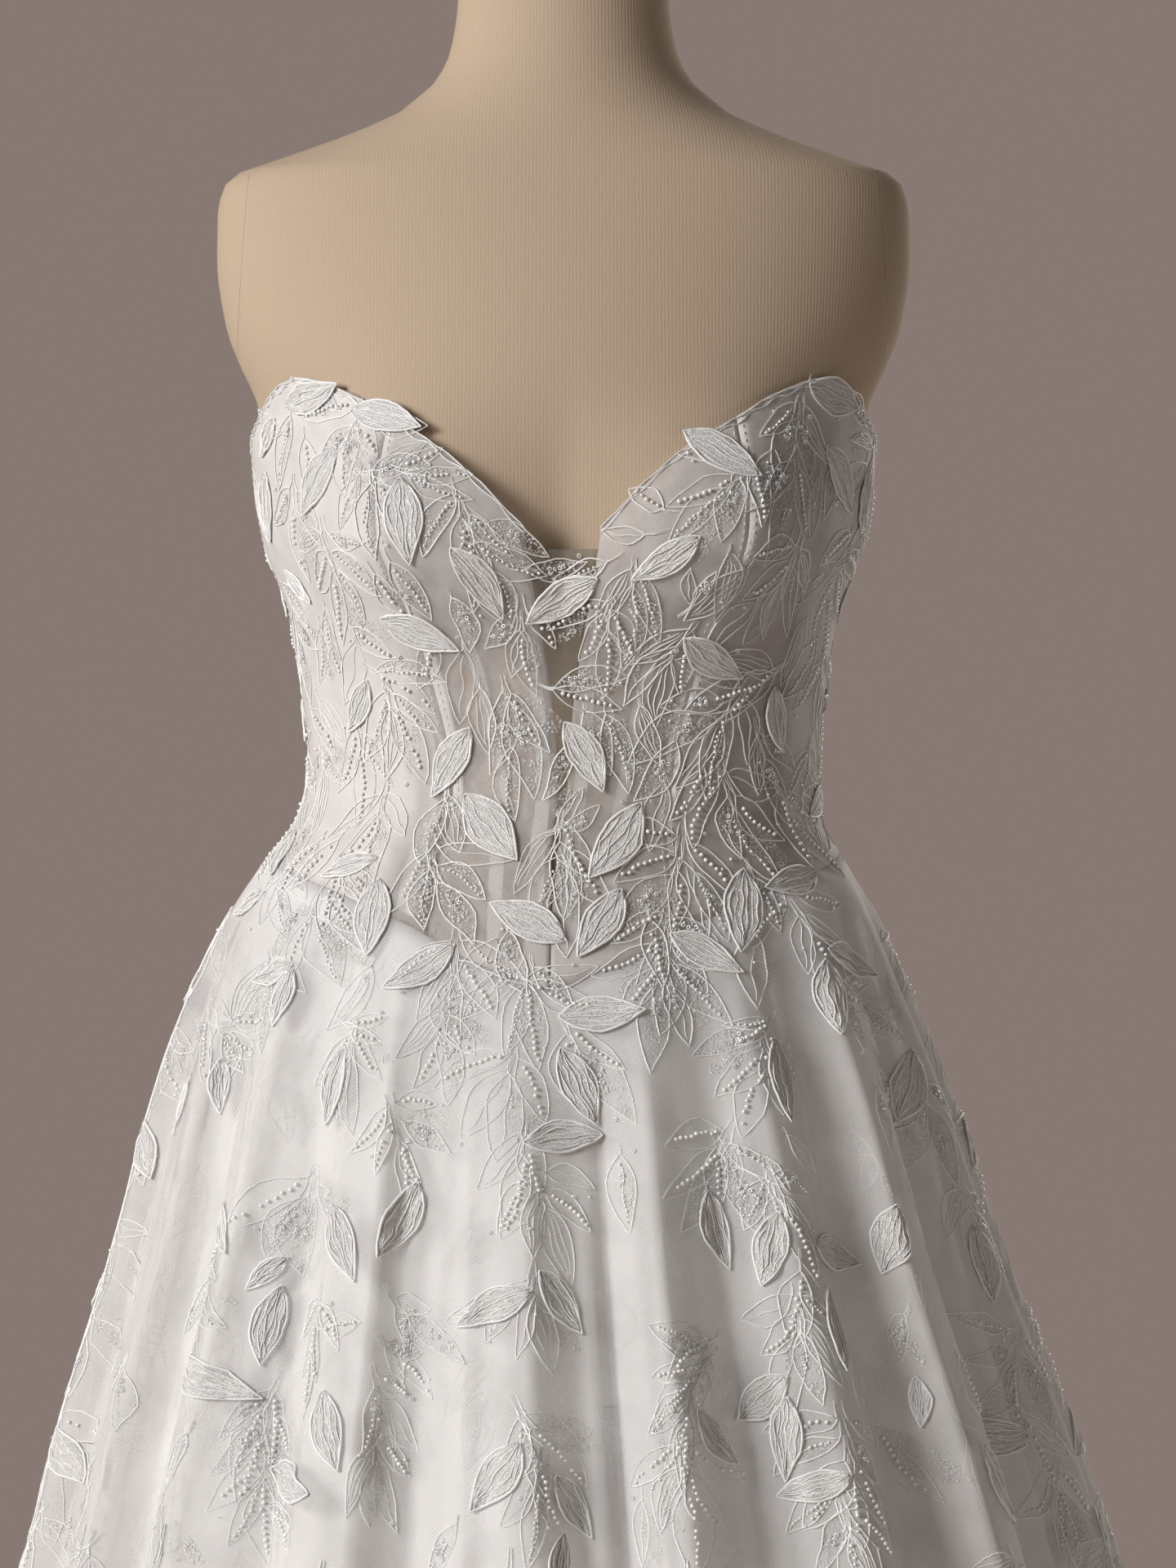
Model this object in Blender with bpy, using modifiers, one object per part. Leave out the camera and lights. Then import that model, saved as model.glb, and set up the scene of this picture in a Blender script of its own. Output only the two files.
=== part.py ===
"""A-line wedding dress on a limbless dress form with its stand.

Metres, +Z up. The dress faces -Y and the wearer's left is +X. The origin is the centre of the
stand's base plate, on the floor. A place on the body or the cloth is (u, z): u is the angle round
the figure from the centre front, positive towards the wearer's left, and z is the height.
"""

import math
from collections import namedtuple

import bmesh
import bpy
import numpy as np
from mathutils import Vector
from mathutils.geometry import delaunay_2d_cdt

# Cloth and seams
WALL = 0.0015
LINING_WALL = 0.0012
INSERT_WALL = 0.0010
SEAM_GAP = 0.0003
HEM_Z = 0.018
UNDERSKIRT_HEM_Z = 0.030

# Cups: how far they stand out, where, and how wide they spread
CUP_RISE = 0.036
CUP_ANGLE = math.radians(33)
CUP_Z = 1.172
CUP_SPREAD_IN = math.radians(36)
CUP_SPREAD_OUT = math.radians(21)
CUP_SPREAD_UP = 0.062
CUP_SPREAD_DOWN = 0.050

# The padded figure under the cloth
FORM_CUP_RISE = 0.033
FORM_CUP_SPREAD_IN = math.radians(24)
FORM_SIDES = 36
FORM_CUP_ROWS = [1.1005, 1.1110, 1.1230, 1.1470, 1.1610, 1.1970]
ARM_CAP_X = 0.1750
ARM_CAP_TILT = math.radians(4)

# Bones: narrow channels inside the front of the bodice
BONE_WIDTH = 0.009
BONE_THICK = 0.0010
BONE_GAP = 0.0010
BONE_END_SHARE = 0.3

# Stand
NECK_CAP_THICK = 0.008
COLLAR_RADIUS = 0.035
COLLAR_HEIGHT = 0.018
POLE_RADIUS = 0.0125
BASE_RADIUS = 0.190
BASE_THICK = 0.012

# Leaves of thick applique
LEAF_RISE = 0.0018
LEAF_EDGE_MARGIN = 0.004
LEAF_GAP = 0.003

Section = namedtuple("Section", "z half_width front back")
EdgePoint = namedtuple("EdgePoint", "degrees z")
SeamPoint = namedtuple("SeamPoint", "z degrees")
PlungePoint = namedtuple("PlungePoint", "z half_gap")
Fold = namedtuple("Fold", "crest_degrees depth lean")
Sway = namedtuple("Sway", "z shift")
Bone = namedtuple("Bone", "name panel low high last_row")
Vine = namedtuple("Vine", "start_degrees start_z end_degrees end_z bow_degrees")
FrontLeaf = namedtuple("FrontLeaf", "degrees z turn_degrees length width")

# The dress from outside, from above the cups down to the hem
GARMENT = [
    Section(1.2900, 0.1890, 0.1040, 0.1060),
    Section(1.2731, 0.1820, 0.1050, 0.1060),
    Section(1.2455, 0.1722, 0.1060, 0.1050),
    Section(1.2179, 0.1716, 0.1065, 0.1030),
    Section(1.1765, 0.1658, 0.1060, 0.1000),
    Section(1.1351, 0.1510, 0.1020, 0.0970),
    Section(1.0937, 0.1442, 0.0990, 0.0950),
    Section(1.0523, 0.1403, 0.0985, 0.0945),
    Section(1.0247, 0.1440, 0.1020, 0.0990),
    Section(0.9971, 0.1615, 0.1090, 0.1100),
    Section(0.9695, 0.1775, 0.1190, 0.1250),
    Section(0.9281, 0.1950, 0.1360, 0.1470),
    Section(0.8729, 0.2145, 0.1590, 0.1760),
    Section(0.7901, 0.2370, 0.1920, 0.2190),
    Section(0.6935, 0.2690, 0.2290, 0.2620),
    Section(0.6107, 0.2930, 0.2620, 0.2930),
    Section(0.3000, 0.3900, 0.3770, 0.3980),
    Section(0.0180, 0.4740, 0.4710, 0.4750),
]

# How far the skirt hangs to the wearer's left of the figure's middle
SWAY = [
    Sway(1.040, 0.0000),
    Sway(0.995, -0.0050),
    Sway(0.940, -0.0065),
    Sway(0.860, -0.0045),
    Sway(0.760, -0.0010),
    Sway(0.690, 0.0020),
    Sway(0.610, 0.0050),
    Sway(0.018, -0.0012),
]

# The figure: neck, shoulders, chest and hips
FORM = [
    Section(1.5050, 0.0575, 0.0440, 0.0640),
    Section(1.4740, 0.0581, 0.0460, 0.0660),
    Section(1.4470, 0.0619, 0.0500, 0.0700),
    Section(1.4290, 0.0702, 0.0550, 0.0745),
    Section(1.4200, 0.0801, 0.0575, 0.0770),
    Section(1.4110, 0.0910, 0.0600, 0.0795),
    Section(1.4020, 0.1110, 0.0625, 0.0820),
    Section(1.3930, 0.1345, 0.0650, 0.0845),
    Section(1.3840, 0.1610, 0.0680, 0.0870),
    Section(1.3750, 0.1841, 0.0710, 0.0890),
    Section(1.3660, 0.1885, 0.0740, 0.0905),
    Section(1.3570, 0.1904, 0.0770, 0.0920),
    Section(1.3300, 0.1908, 0.0860, 0.0950),
    Section(1.2940, 0.1859, 0.0950, 0.0980),
    Section(1.2731, 0.1785, 0.0990, 0.1000),
    Section(1.2600, 0.1722, 0.1000, 0.1000),
    Section(1.2455, 0.1672, 0.1010, 0.0995),
    Section(1.2179, 0.1666, 0.1015, 0.0978),
    Section(1.1765, 0.1608, 0.1010, 0.0948),
    Section(1.1351, 0.1450, 0.0972, 0.0920),
    Section(1.0937, 0.1385, 0.0942, 0.0900),
    Section(1.0523, 0.1353, 0.0936, 0.0895),
    Section(1.0247, 0.1380, 0.0960, 0.0935),
    Section(0.9971, 0.1455, 0.1000, 0.1005),
    Section(0.9500, 0.1580, 0.1060, 0.1130),
    Section(0.9000, 0.1670, 0.1090, 0.1220),
    Section(0.8500, 0.1700, 0.1090, 0.1230),
    Section(0.8000, 0.1660, 0.1060, 0.1170),
    Section(0.7700, 0.1600, 0.1020, 0.1110),
    Section(0.7600, 0.1520, 0.0960, 0.1050),
]

# Top edge of the bodice, from the top of the plunge round to the centre back
NECKLINE = [
    EdgePoint(6.4, 1.178),
    EdgePoint(9.0, 1.187),
    EdgePoint(14.6, 1.205),
    EdgePoint(22.5, 1.224),
    EdgePoint(31.0, 1.237),
    EdgePoint(41.0, 1.252),
    EdgePoint(53.0, 1.261),
    EdgePoint(60.0, 1.259),
    EdgePoint(66.0, 1.254),
    EdgePoint(73.0, 1.245),
    EdgePoint(78.0, 1.239),
    EdgePoint(92.0, 1.228),
    EdgePoint(110.0, 1.219),
    EdgePoint(140.0, 1.206),
    EdgePoint(180.0, 1.197),
]

# Seam between bodice and skirt: a soft point at the centre front
WAIST_SEAM = [
    EdgePoint(0.0, 0.933),
    EdgePoint(13.0, 0.949),
    EdgePoint(26.0, 0.968),
    EdgePoint(49.0, 0.988),
    EdgePoint(92.0, 1.006),
    EdgePoint(140.0, 1.010),
    EdgePoint(180.0, 1.008),
]

# Gap between the two front edges, from the waist seam up to the neckline
PLUNGE = [
    PlungePoint(0.933, 0.0002),
    PlungePoint(0.985, 0.0004),
    PlungePoint(1.000, 0.0014),
    PlungePoint(1.040, 0.0024),
    PlungePoint(1.080, 0.0052),
    PlungePoint(1.135, 0.0130),
    PlungePoint(1.178, 0.0190),
]
INSERT_BOTTOM_Z = 1.030
INSERT_TOP_Z = 1.166
INSERT_COLUMNS = 5

FRONT_PRINCESS = [
    SeamPoint(0.962, 21.0),
    SeamPoint(1.050, 25.0),
    SeamPoint(1.110, 29.5),
    SeamPoint(1.172, 33.0),
    SeamPoint(1.252, 31.0),
]
SIDE_SEAM = [SeamPoint(0.900, 92.0), SeamPoint(1.300, 92.0)]
BACK_PRINCESS = [
    SeamPoint(1.010, 148.0),
    SeamPoint(1.060, 146.0),
    SeamPoint(1.130, 142.0),
    SeamPoint(1.207, 140.0),
]
CENTRE_BACK = [SeamPoint(0.900, 180.0), SeamPoint(1.300, 180.0)]

# Bones of one side: low and high are shares of the panel's width, last_row a row of its grid
BONES = [
    Bone("plunge", "centre_front", 0.14, 0.10, 12),
    Bone("middle", "centre_front", 0.42, 0.66, 12),
    Bone("princess", "side_front", 0.08, 0.10, 7),
]

# Deep soft folds of the skirt. A fold leans to one side by a share of its depth.
FOLDS = [
    Fold(-170.0, 0.050, 0.25),
    Fold(-148.0, 0.042, -0.20),
    Fold(-128.0, 0.052, 0.30),
    Fold(-107.0, 0.040, -0.15),
    Fold(-85.0, 0.046, 0.30),
    Fold(-65.0, 0.038, 0.35),
    Fold(-46.0, 0.044, -0.30),
    Fold(-27.0, 0.036, 0.30),
    Fold(-6.0, 0.046, 0.20),
    Fold(15.0, 0.048, -0.35),
    Fold(32.0, 0.036, 0.30),
    Fold(52.0, 0.048, -0.30),
    Fold(73.0, 0.040, 0.30),
    Fold(94.0, 0.046, -0.20),
    Fold(114.0, 0.040, 0.25),
    Fold(133.0, 0.050, -0.30),
    Fold(153.0, 0.042, 0.20),
    Fold(172.0, 0.048, -0.25),
]
FOLD_GROWTH = 0.35
FOLD_CREST_SHARE = 0.35
LINING_FOLD_SHARE = 0.35
LINING_GAP_TOP = 0.0024
LINING_GAP_MORE = 0.010
LINING_GAP_GROWTH = 0.10
STEPS_PER_FOLD = 7
SKIRT_ROWS = [0.0, 0.02, 0.055, 0.11, 0.19, 0.30, 0.47, 0.71, 1.0]
LINING_ROWS = [0.0, 0.03, 0.09, 0.18, 0.34, 0.62, 1.0]
LINING_STEP = math.radians(6)
SKIRT_SIDE = math.radians(100)

# Raised leaves of the front, one by one: where each starts, its turn from straight down towards the
# wearer's left, and its size
FRONT_LEAVES = [
    FrontLeaf(-61.0, 1.2420, 97, 0.040, 0.0165),
    FrontLeaf(-40.6, 1.2372, 60, 0.043, 0.0177),
    FrontLeaf(-42.8, 1.2216, -40, 0.050, 0.0205),
    FrontLeaf(-27.9, 1.2039, 2, 0.050, 0.0205),
    FrontLeaf(-19.1, 1.1668, 31, 0.044, 0.0179),
    FrontLeaf(-38.1, 1.1308, 63, 0.047, 0.0195),
    FrontLeaf(-71.2, 1.1585, 43, 0.027, 0.0115),
    FrontLeaf(-70.5, 1.2118, -11, 0.039, 0.0159),
    FrontLeaf(-65.0, 1.2405, -38, 0.026, 0.0115),
    FrontLeaf(25.5, 1.2180, 62, 0.042, 0.0175),
    FrontLeaf(54.6, 1.2245, 43, 0.050, 0.0205),
    FrontLeaf(23.4, 1.1724, -55, 0.039, 0.0160),
    FrontLeaf(6.3, 1.1508, -58, 0.048, 0.0198),
    FrontLeaf(24.7, 1.1198, 59, 0.047, 0.0191),
    FrontLeaf(49.5, 1.2475, 84, 0.043, 0.0178),
    FrontLeaf(-46.2, 1.0978, -33, 0.034, 0.0141),
    FrontLeaf(-20.5, 1.0721, -29, 0.043, 0.0176),
    FrontLeaf(-21.3, 1.0368, 43, 0.050, 0.0205),
    FrontLeaf(0.4, 1.0751, 29, 0.043, 0.0178),
    FrontLeaf(-37.0, 1.0022, -68, 0.032, 0.0132),
    FrontLeaf(-34.3, 0.9914, 9, 0.046, 0.0190),
    FrontLeaf(-16.0, 0.9569, -55, 0.044, 0.0179),
    FrontLeaf(2.6, 0.9591, -116, 0.048, 0.0197),
    FrontLeaf(12.6, 0.9861, -32, 0.045, 0.0183),
    FrontLeaf(17.5, 1.0320, -33, 0.049, 0.0203),
    FrontLeaf(51.9, 1.0944, 16, 0.037, 0.0150),
    FrontLeaf(38.8, 0.9965, -18, 0.050, 0.0205),
    FrontLeaf(60.0, 0.9943, -77, 0.040, 0.0163),
    FrontLeaf(20.4, 0.9624, 58, 0.042, 0.0174),
    FrontLeaf(53.4, 0.9534, 66, 0.043, 0.0175),
    FrontLeaf(51.8, 0.9483, -8, 0.045, 0.0185),
    FrontLeaf(1.2, 0.9197, 94, 0.047, 0.0192),
    FrontLeaf(1.3, 0.9036, 21, 0.046, 0.0190),
    FrontLeaf(-4.5, 0.8555, 94, 0.044, 0.0180),
    FrontLeaf(-32.8, 0.9030, -10, 0.044, 0.0180),
    FrontLeaf(-60.1, 0.8946, 12, 0.032, 0.0129),
    FrontLeaf(-68.4, 0.8859, -4, 0.036, 0.0149),
    FrontLeaf(-45.9, 0.9455, -72, 0.036, 0.0148),
    FrontLeaf(-45.5, 0.9430, -1, 0.034, 0.0138),
    FrontLeaf(-49.0, 0.8211, 33, 0.032, 0.0131),
    FrontLeaf(-31.0, 0.8224, 29, 0.047, 0.0191),
    FrontLeaf(-19.0, 0.8341, -23, 0.043, 0.0175),
    FrontLeaf(-38.4, 0.7932, -48, 0.026, 0.0115),
    FrontLeaf(-38.6, 0.7790, -5, 0.043, 0.0177),
    FrontLeaf(-50.0, 0.7411, 61, 0.043, 0.0176),
    FrontLeaf(-29.0, 0.7297, 19, 0.045, 0.0184),
    FrontLeaf(-37.2, 0.6858, 81, 0.050, 0.0205),
    FrontLeaf(-4.0, 0.7815, -60, 0.042, 0.0174),
    FrontLeaf(-3.0, 0.7911, 41, 0.047, 0.0191),
    FrontLeaf(-5.5, 0.7076, -34, 0.047, 0.0194),
    FrontLeaf(-1.8, 0.6901, 36, 0.043, 0.0177),
    FrontLeaf(-1.1, 0.6622, -11, 0.035, 0.0143),
    FrontLeaf(29.3, 0.8186, -23, 0.044, 0.0182),
    FrontLeaf(33.7, 0.8003, 75, 0.048, 0.0198),
    FrontLeaf(34.2, 0.7799, -6, 0.046, 0.0190),
    FrontLeaf(26.9, 0.7360, -59, 0.046, 0.0190),
    FrontLeaf(26.6, 0.7257, -13, 0.047, 0.0191),
    FrontLeaf(16.6, 0.7218, 41, 0.042, 0.0172),
    FrontLeaf(30.4, 0.6877, -69, 0.036, 0.0149),
    FrontLeaf(47.5, 0.7317, -13, 0.029, 0.0118),
    FrontLeaf(67.8, 0.6932, -89, 0.050, 0.0205),
    FrontLeaf(71.1, 0.8037, -6, 0.044, 0.0181),
    FrontLeaf(69.8, 0.8982, -30, 0.049, 0.0200),
    FrontLeaf(34.9, 0.9072, -5, 0.047, 0.0191),
    FrontLeaf(50.4, 0.8197, -16, 0.040, 0.0163),
    FrontLeaf(21.2, 0.8297, 12, 0.044, 0.0180),
]

# Vines of leaves round the sides and back of the bodice. The right side mirrors the left.
BODICE_VINES = [
    Vine(50, 1.258, 13, 1.185, -4),
    Vine(66, 1.250, 10, 1.100, -8),
    Vine(80, 1.225, 30, 0.990, -10),
    Vine(30, 1.235, 22, 1.120, 6),
    Vine(40, 1.130, 9, 0.975, -6),
    Vine(64, 1.110, 52, 1.010, -6),
    Vine(104, 1.215, 84, 1.025, 8),
    Vine(124, 1.205, 108, 1.030, 6),
    Vine(150, 1.190, 130, 1.030, 8),
    Vine(171, 1.185, 160, 1.030, 8),
]
BODICE_LEAF = (0.034, 0.015)
BODICE_STATION = 0.034
SKIRT_LEAF = (0.038, 0.017)
SKIRT_STATION = 0.087
SKIRT_VINE_START = 0.030
BODICE_FRONT = math.radians(70)
SKIRT_FRONT = math.radians(76)
SKIRT_FRONT_BOTTOM_Z = 0.62
LEAF_ANGLE = math.radians(38)
LEAF_FRACTIONS = [(0.0, 0.0), (0.30, 1.0), (0.68, 0.80), (1.0, 0.0), (0.68, -0.80), (0.30, -1.0)]
LEAF_RIDGE = [0.28, 0.66]

COLOURS = {
    "lace": (0.86, 0.84, 0.81),
    "tulle": (0.88, 0.87, 0.85),
    "satin": (0.82, 0.81, 0.79),
    "mesh": (0.62, 0.52, 0.42),
    "bone": (0.85, 0.84, 0.82),
    "form": (0.60, 0.49, 0.36),
    "steel": (0.30, 0.29, 0.28),
}


# ---------------------------------------------------------------- curves through tables


def curve_through(xs, ys):
    """A smooth function through the points that never overshoots them."""
    xs, ys = np.array(xs, float), np.array(ys, float)
    order = np.argsort(xs)
    xs, ys = xs[order], ys[order]
    step = np.diff(xs)
    slope = np.diff(ys) / step
    tangent = np.zeros(len(xs))
    same = slope[:-1] * slope[1:] > 0
    tangent[1:-1][same] = (2 * slope[:-1] * slope[1:])[same] / (slope[:-1] + slope[1:])[same]
    tangent[0], tangent[-1] = slope[0], slope[-1]

    def value(x):
        x = np.clip(x, xs[0], xs[-1])
        i = np.clip(np.searchsorted(xs, x) - 1, 0, len(step) - 1)
        t = (x - xs[i]) / step[i]
        rise = t * t * (3 - 2 * t)
        return (
            ys[i] * (1 - rise)
            + ys[i + 1] * rise
            + step[i] * t * (1 - t) * (tangent[i] * (1 - t) - tangent[i + 1] * t)
        )

    return value


def section_curves(table):
    zs = [row.z for row in table]
    return [curve_through(zs, [getattr(row, name) for row in table]) for name in ("half_width", "front", "back")]


def edge_curve(table):
    """Height of a seam or edge, by the angle from the centre front."""
    return curve_through([math.radians(p.degrees) for p in table], [p.z for p in table])


def seam_curve(table):
    """Angle of an upright seam, by height."""
    return curve_through([p.z for p in table], [math.radians(p.degrees) for p in table])


garment_half_width, garment_front, garment_back = section_curves(GARMENT)
form_half_width, form_front, form_back = section_curves(FORM)
sway = curve_through([row.z for row in SWAY], [row.shift for row in SWAY])
neckline_z = edge_curve(NECKLINE)
waist_seam_z = edge_curve(WAIST_SEAM)
plunge_half_gap = curve_through([p.z for p in PLUNGE], [p.half_gap for p in PLUNGE])
front_princess = seam_curve(FRONT_PRINCESS)
side_seam = seam_curve(SIDE_SEAM)
back_princess = seam_curve(BACK_PRINCESS)
centre_back = seam_curve(CENTRE_BACK)


# ---------------------------------------------------------------- surfaces


def cup_height(u, z, rise, spread_in):
    """How far a cup stands forward of the plain oval at (u, z)."""
    off = np.abs(u) - CUP_ANGLE
    across = off / np.where(off < 0, spread_in, CUP_SPREAD_OUT)
    up = (z - CUP_Z) / np.where(z > CUP_Z, CUP_SPREAD_UP, CUP_SPREAD_DOWN)
    return rise * np.exp(-across * across - up * up)


def oval(u, z, half_width, front, back):
    """Points, outward directions and sideways directions of the level oval at height z."""
    depth = np.where(np.cos(u) > 0, front(z), back(z))
    across = half_width(z)
    point = np.stack([across * np.sin(u), -depth * np.cos(u), z + 0 * u], -1)
    outward = np.stack([depth * np.sin(u), -across * np.cos(u), 0 * u], -1)
    outward /= np.linalg.norm(outward, axis=-1, keepdims=True)
    sideways = np.stack([-outward[..., 1], outward[..., 0], 0 * u], -1)
    return point, outward, sideways


def garment_oval(u, z):
    point, outward, sideways = oval(u, z, garment_half_width, garment_front, garment_back)
    return point + np.stack([sway(z), 0 * z, 0 * z], -1), outward, sideways


def with_cups(point, u, z, rise, spread_in):
    height = cup_height(u, z, rise, spread_in)
    forward = np.stack([0.25 * np.tanh(3 * u), -1 + 0 * u, 0 * u], -1)
    return point + forward * height[..., None]


def fold_wave(u):
    """(wave, depth, lean) of the skirt's folds at angle u. The wave is 1 on a crest and 0 in a valley."""
    crests = np.radians([f.crest_degrees for f in FOLDS])
    crests = np.append(crests, crests[0] + 2 * math.pi)
    wrapped = (u - crests[0]) % (2 * math.pi) + crests[0]
    i = np.clip(np.searchsorted(crests, wrapped, side="right") - 1, 0, len(FOLDS) - 1)
    share = (wrapped - crests[i]) / (crests[i + 1] - crests[i])
    depths = np.array([f.depth for f in FOLDS] + [FOLDS[0].depth])
    leans = np.array([f.lean for f in FOLDS] + [FOLDS[0].lean])
    blend = share * share * (3 - 2 * share)
    depth = depths[i] * (1 - blend) + depths[i + 1] * blend
    lean = np.where(share < 0.5, leans[i], leans[i + 1])
    return 0.5 + 0.5 * np.cos(2 * math.pi * share), depth, lean


def garment_surface(u, z):
    """Outside of the dress: fitted above the waist seam, folded below it."""
    u, z = np.broadcast_arrays(np.asarray(u, float), np.asarray(z, float))
    point, outward, sideways = garment_oval(u, z)
    point = with_cups(point, u, z, CUP_RISE, CUP_SPREAD_IN)
    drop = np.maximum(waist_seam_z(np.abs(u)) - z, 0)
    wave, depth, lean = fold_wave(u)
    depth = depth * (1 - np.exp(-drop / FOLD_GROWTH))
    out = depth * (wave - 1 + FOLD_CREST_SHARE)
    return point + outward * out[..., None] + sideways * (depth * lean * wave)[..., None]


def lining_surface(u, z):
    """Outside of the underskirt, inside every valley of the skirt."""
    u, z = np.broadcast_arrays(np.asarray(u, float), np.asarray(z, float))
    point, outward, sideways = garment_oval(u, z)
    drop = np.maximum(waist_seam_z(np.abs(u)) - z, 0)
    wave, depth, lean = fold_wave(u)
    depth = depth * (1 - np.exp(-drop / FOLD_GROWTH))
    gap = LINING_GAP_TOP + LINING_GAP_MORE * (1 - np.exp(-drop / LINING_GAP_GROWTH))
    out = depth * (LINING_FOLD_SHARE * wave - 1 + FOLD_CREST_SHARE) - gap
    aside = LINING_FOLD_SHARE * depth * lean * wave
    return point + outward * out[..., None] + sideways * aside[..., None]


def form_surface(u, z):
    u, z = np.broadcast_arrays(np.asarray(u, float), np.asarray(z, float))
    point, _, _ = oval(u, z, form_half_width, form_front, form_back)
    return with_cups(point, u, z, FORM_CUP_RISE, FORM_CUP_SPREAD_IN)


def normals(surface, u, z):
    """Outward unit normals, from neighbouring points of the surface."""
    du, dz = 1e-4, 1e-4
    along = surface(u + du, z) - surface(u - du, z)
    up = surface(u, z + dz) - surface(u, z - dz)
    normal = np.cross(along, up)
    return normal / np.linalg.norm(normal, axis=-1, keepdims=True)


# ---------------------------------------------------------------- objects and materials


def material(name):
    made = bpy.data.materials.get(name)
    if made is None:
        made = bpy.data.materials.new(name)
        made.use_nodes = True
        shader = made.node_tree.nodes["Principled BSDF"]
        shader.inputs["Base Color"].default_value = (*COLOURS[name], 1)
        shader.inputs["Roughness"].default_value = 0.35 if name == "steel" else 0.8
        shader.inputs["Metallic"].default_value = 1.0 if name == "steel" else 0.0
    return made


def add_object(name, mesh, finish, collection, smooth=True):
    obj = bpy.data.objects.new(name, mesh)
    collection.objects.link(obj)
    mesh.materials.clear()
    mesh.materials.append(material(finish))
    if smooth:
        mesh.shade_smooth()
    return obj


def finish_mesh(name, shape):
    bmesh.ops.recalc_face_normals(shape, faces=shape.faces)
    mesh = bpy.data.meshes.new(name)
    shape.to_mesh(mesh)
    shape.free()
    return mesh


def cylinder(name, radius, bottom_z, top_z, finish, collection, sides=32, bevel=0.0):
    bpy.ops.mesh.primitive_cylinder_add(
        vertices=sides, radius=radius, depth=top_z - bottom_z, location=(0, 0, (bottom_z + top_z) / 2)
    )
    obj = bpy.context.object
    obj.name = obj.data.name = name
    for other in list(obj.users_collection):
        other.objects.unlink(obj)
    collection.objects.link(obj)
    obj.data.materials.append(material(finish))
    if bevel:
        edge = obj.modifiers.new("rounded_edge", "BEVEL")
        edge.width = bevel
        edge.segments = 2
        edge.limit_method = "ANGLE"
        edge.angle_limit = math.radians(60)
    return obj


# ---------------------------------------------------------------- leaves


Leaf = namedtuple("Leaf", "u z turn length width")


def metric(u, z):
    """Metres along the surface for one radian of u and for one metre of z."""
    step = 1e-3
    across = np.linalg.norm(garment_surface(u + step, z) - garment_surface(u - step, z)) / (2 * step)
    down = np.linalg.norm(garment_surface(u, z + step) - garment_surface(u, z - step)) / (2 * step)
    return float(across), float(down)


def leaf_points(leaf, fractions):
    """(u, z) of points given as (share of length, share of half width) in the leaf."""
    across, down = metric(leaf.u, leaf.z)
    cos, sin = math.cos(leaf.turn), math.sin(leaf.turn)
    points = []
    for along, aside in fractions:
        forward, side = along * leaf.length, aside * leaf.width / 2
        right = forward * sin + side * cos
        fall = forward * cos - side * sin
        points.append((leaf.u + right / across, leaf.z - fall / down))
    return points


def leaf_share(leaf, u, z):
    """Where (u, z) lies in the leaf, as (share of length, share of half width)."""
    across, down = metric(leaf.u, leaf.z)
    right, fall = (u - leaf.u) * across, (leaf.z - z) * down
    cos, sin = math.cos(leaf.turn), math.sin(leaf.turn)
    return (right * sin + fall * cos) / leaf.length, (right * cos - fall * sin) / (leaf.width / 2)


def vine_leaves(path, station, size, phase, start=0.4):
    """Leaves at even stations along a path of (u, z), turned to its two sides in turn."""
    places = garment_surface(path[:, 0], path[:, 1])
    run = np.concatenate([[0], np.cumsum(np.linalg.norm(np.diff(places, axis=0), axis=1))])
    leaves = []
    for i, at in enumerate(np.arange(station * start, run[-1], station)):
        u, z = np.interp(at, run, path[:, 0]), np.interp(at, run, path[:, 1])
        j = min(max(int(np.searchsorted(run, at)), 1), len(path) - 1)
        across, down = metric(u, z)
        heading = math.atan2((path[j, 0] - path[j - 1, 0]) * across, (path[j - 1, 1] - path[j, 1]) * down)
        side = 1 if (i + phase) % 2 else -1
        turn = LEAF_ANGLE * (0.75 + 0.5 * ((i * 0.618 + phase * 0.37) % 1.0))
        leaves.append(Leaf(u, z, heading + side * turn, *size))
    return leaves


def front_leaves():
    return [
        Leaf(math.radians(leaf.degrees), leaf.z, math.radians(leaf.turn_degrees), leaf.length, leaf.width)
        for leaf in FRONT_LEAVES
    ]


def bodice_leaves():
    leaves = []
    for number, vine in enumerate(BODICE_VINES):
        t = np.linspace(0, 1, 25)
        degrees = vine.start_degrees + (vine.end_degrees - vine.start_degrees) * t
        degrees = degrees + vine.bow_degrees * 4 * t * (1 - t)
        z = vine.start_z + (vine.end_z - vine.start_z) * t
        for side in (1, -1):
            path = np.stack([side * np.radians(degrees), z], -1)
            start = 0.4 if side > 0 else 0.8
            leaves += vine_leaves(path, BODICE_STATION, BODICE_LEAF, number + (side > 0), start)
    return front_leaves() + [leaf for leaf in leaves if abs(leaf.u) > BODICE_FRONT]


def skirt_leaves():
    leaves = []
    for number, fold in enumerate(FOLDS):
        u = math.radians(fold.crest_degrees)
        top = float(waist_seam_z(abs(u))) - SKIRT_VINE_START
        z = np.linspace(top, HEM_Z + 0.06, 60)
        sway_here = np.radians(1.6) * np.sin(8 * (top - z) + number)
        path = np.stack([u + sway_here, z], -1)
        leaves += vine_leaves(path, SKIRT_STATION, SKIRT_LEAF, number, 0.15 + 0.3 * (number % 3))
    return front_leaves() + [
        leaf for leaf in leaves if abs(leaf.u) > SKIRT_FRONT or leaf.z < SKIRT_FRONT_BOTTOM_Z
    ]


def apart(a, b, gap):
    """Whether two convex outlines lie at least gap apart across one of their edges."""
    for outline in (a, b):
        for x, y in np.roll(outline, -1, axis=0) - outline:
            across = np.array([y, -x]) / math.hypot(x, y)
            of_a, of_b = a @ across, b @ across
            if of_a.min() - of_b.max() > gap or of_b.min() - of_a.max() > gap:
                return True
    return False


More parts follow.
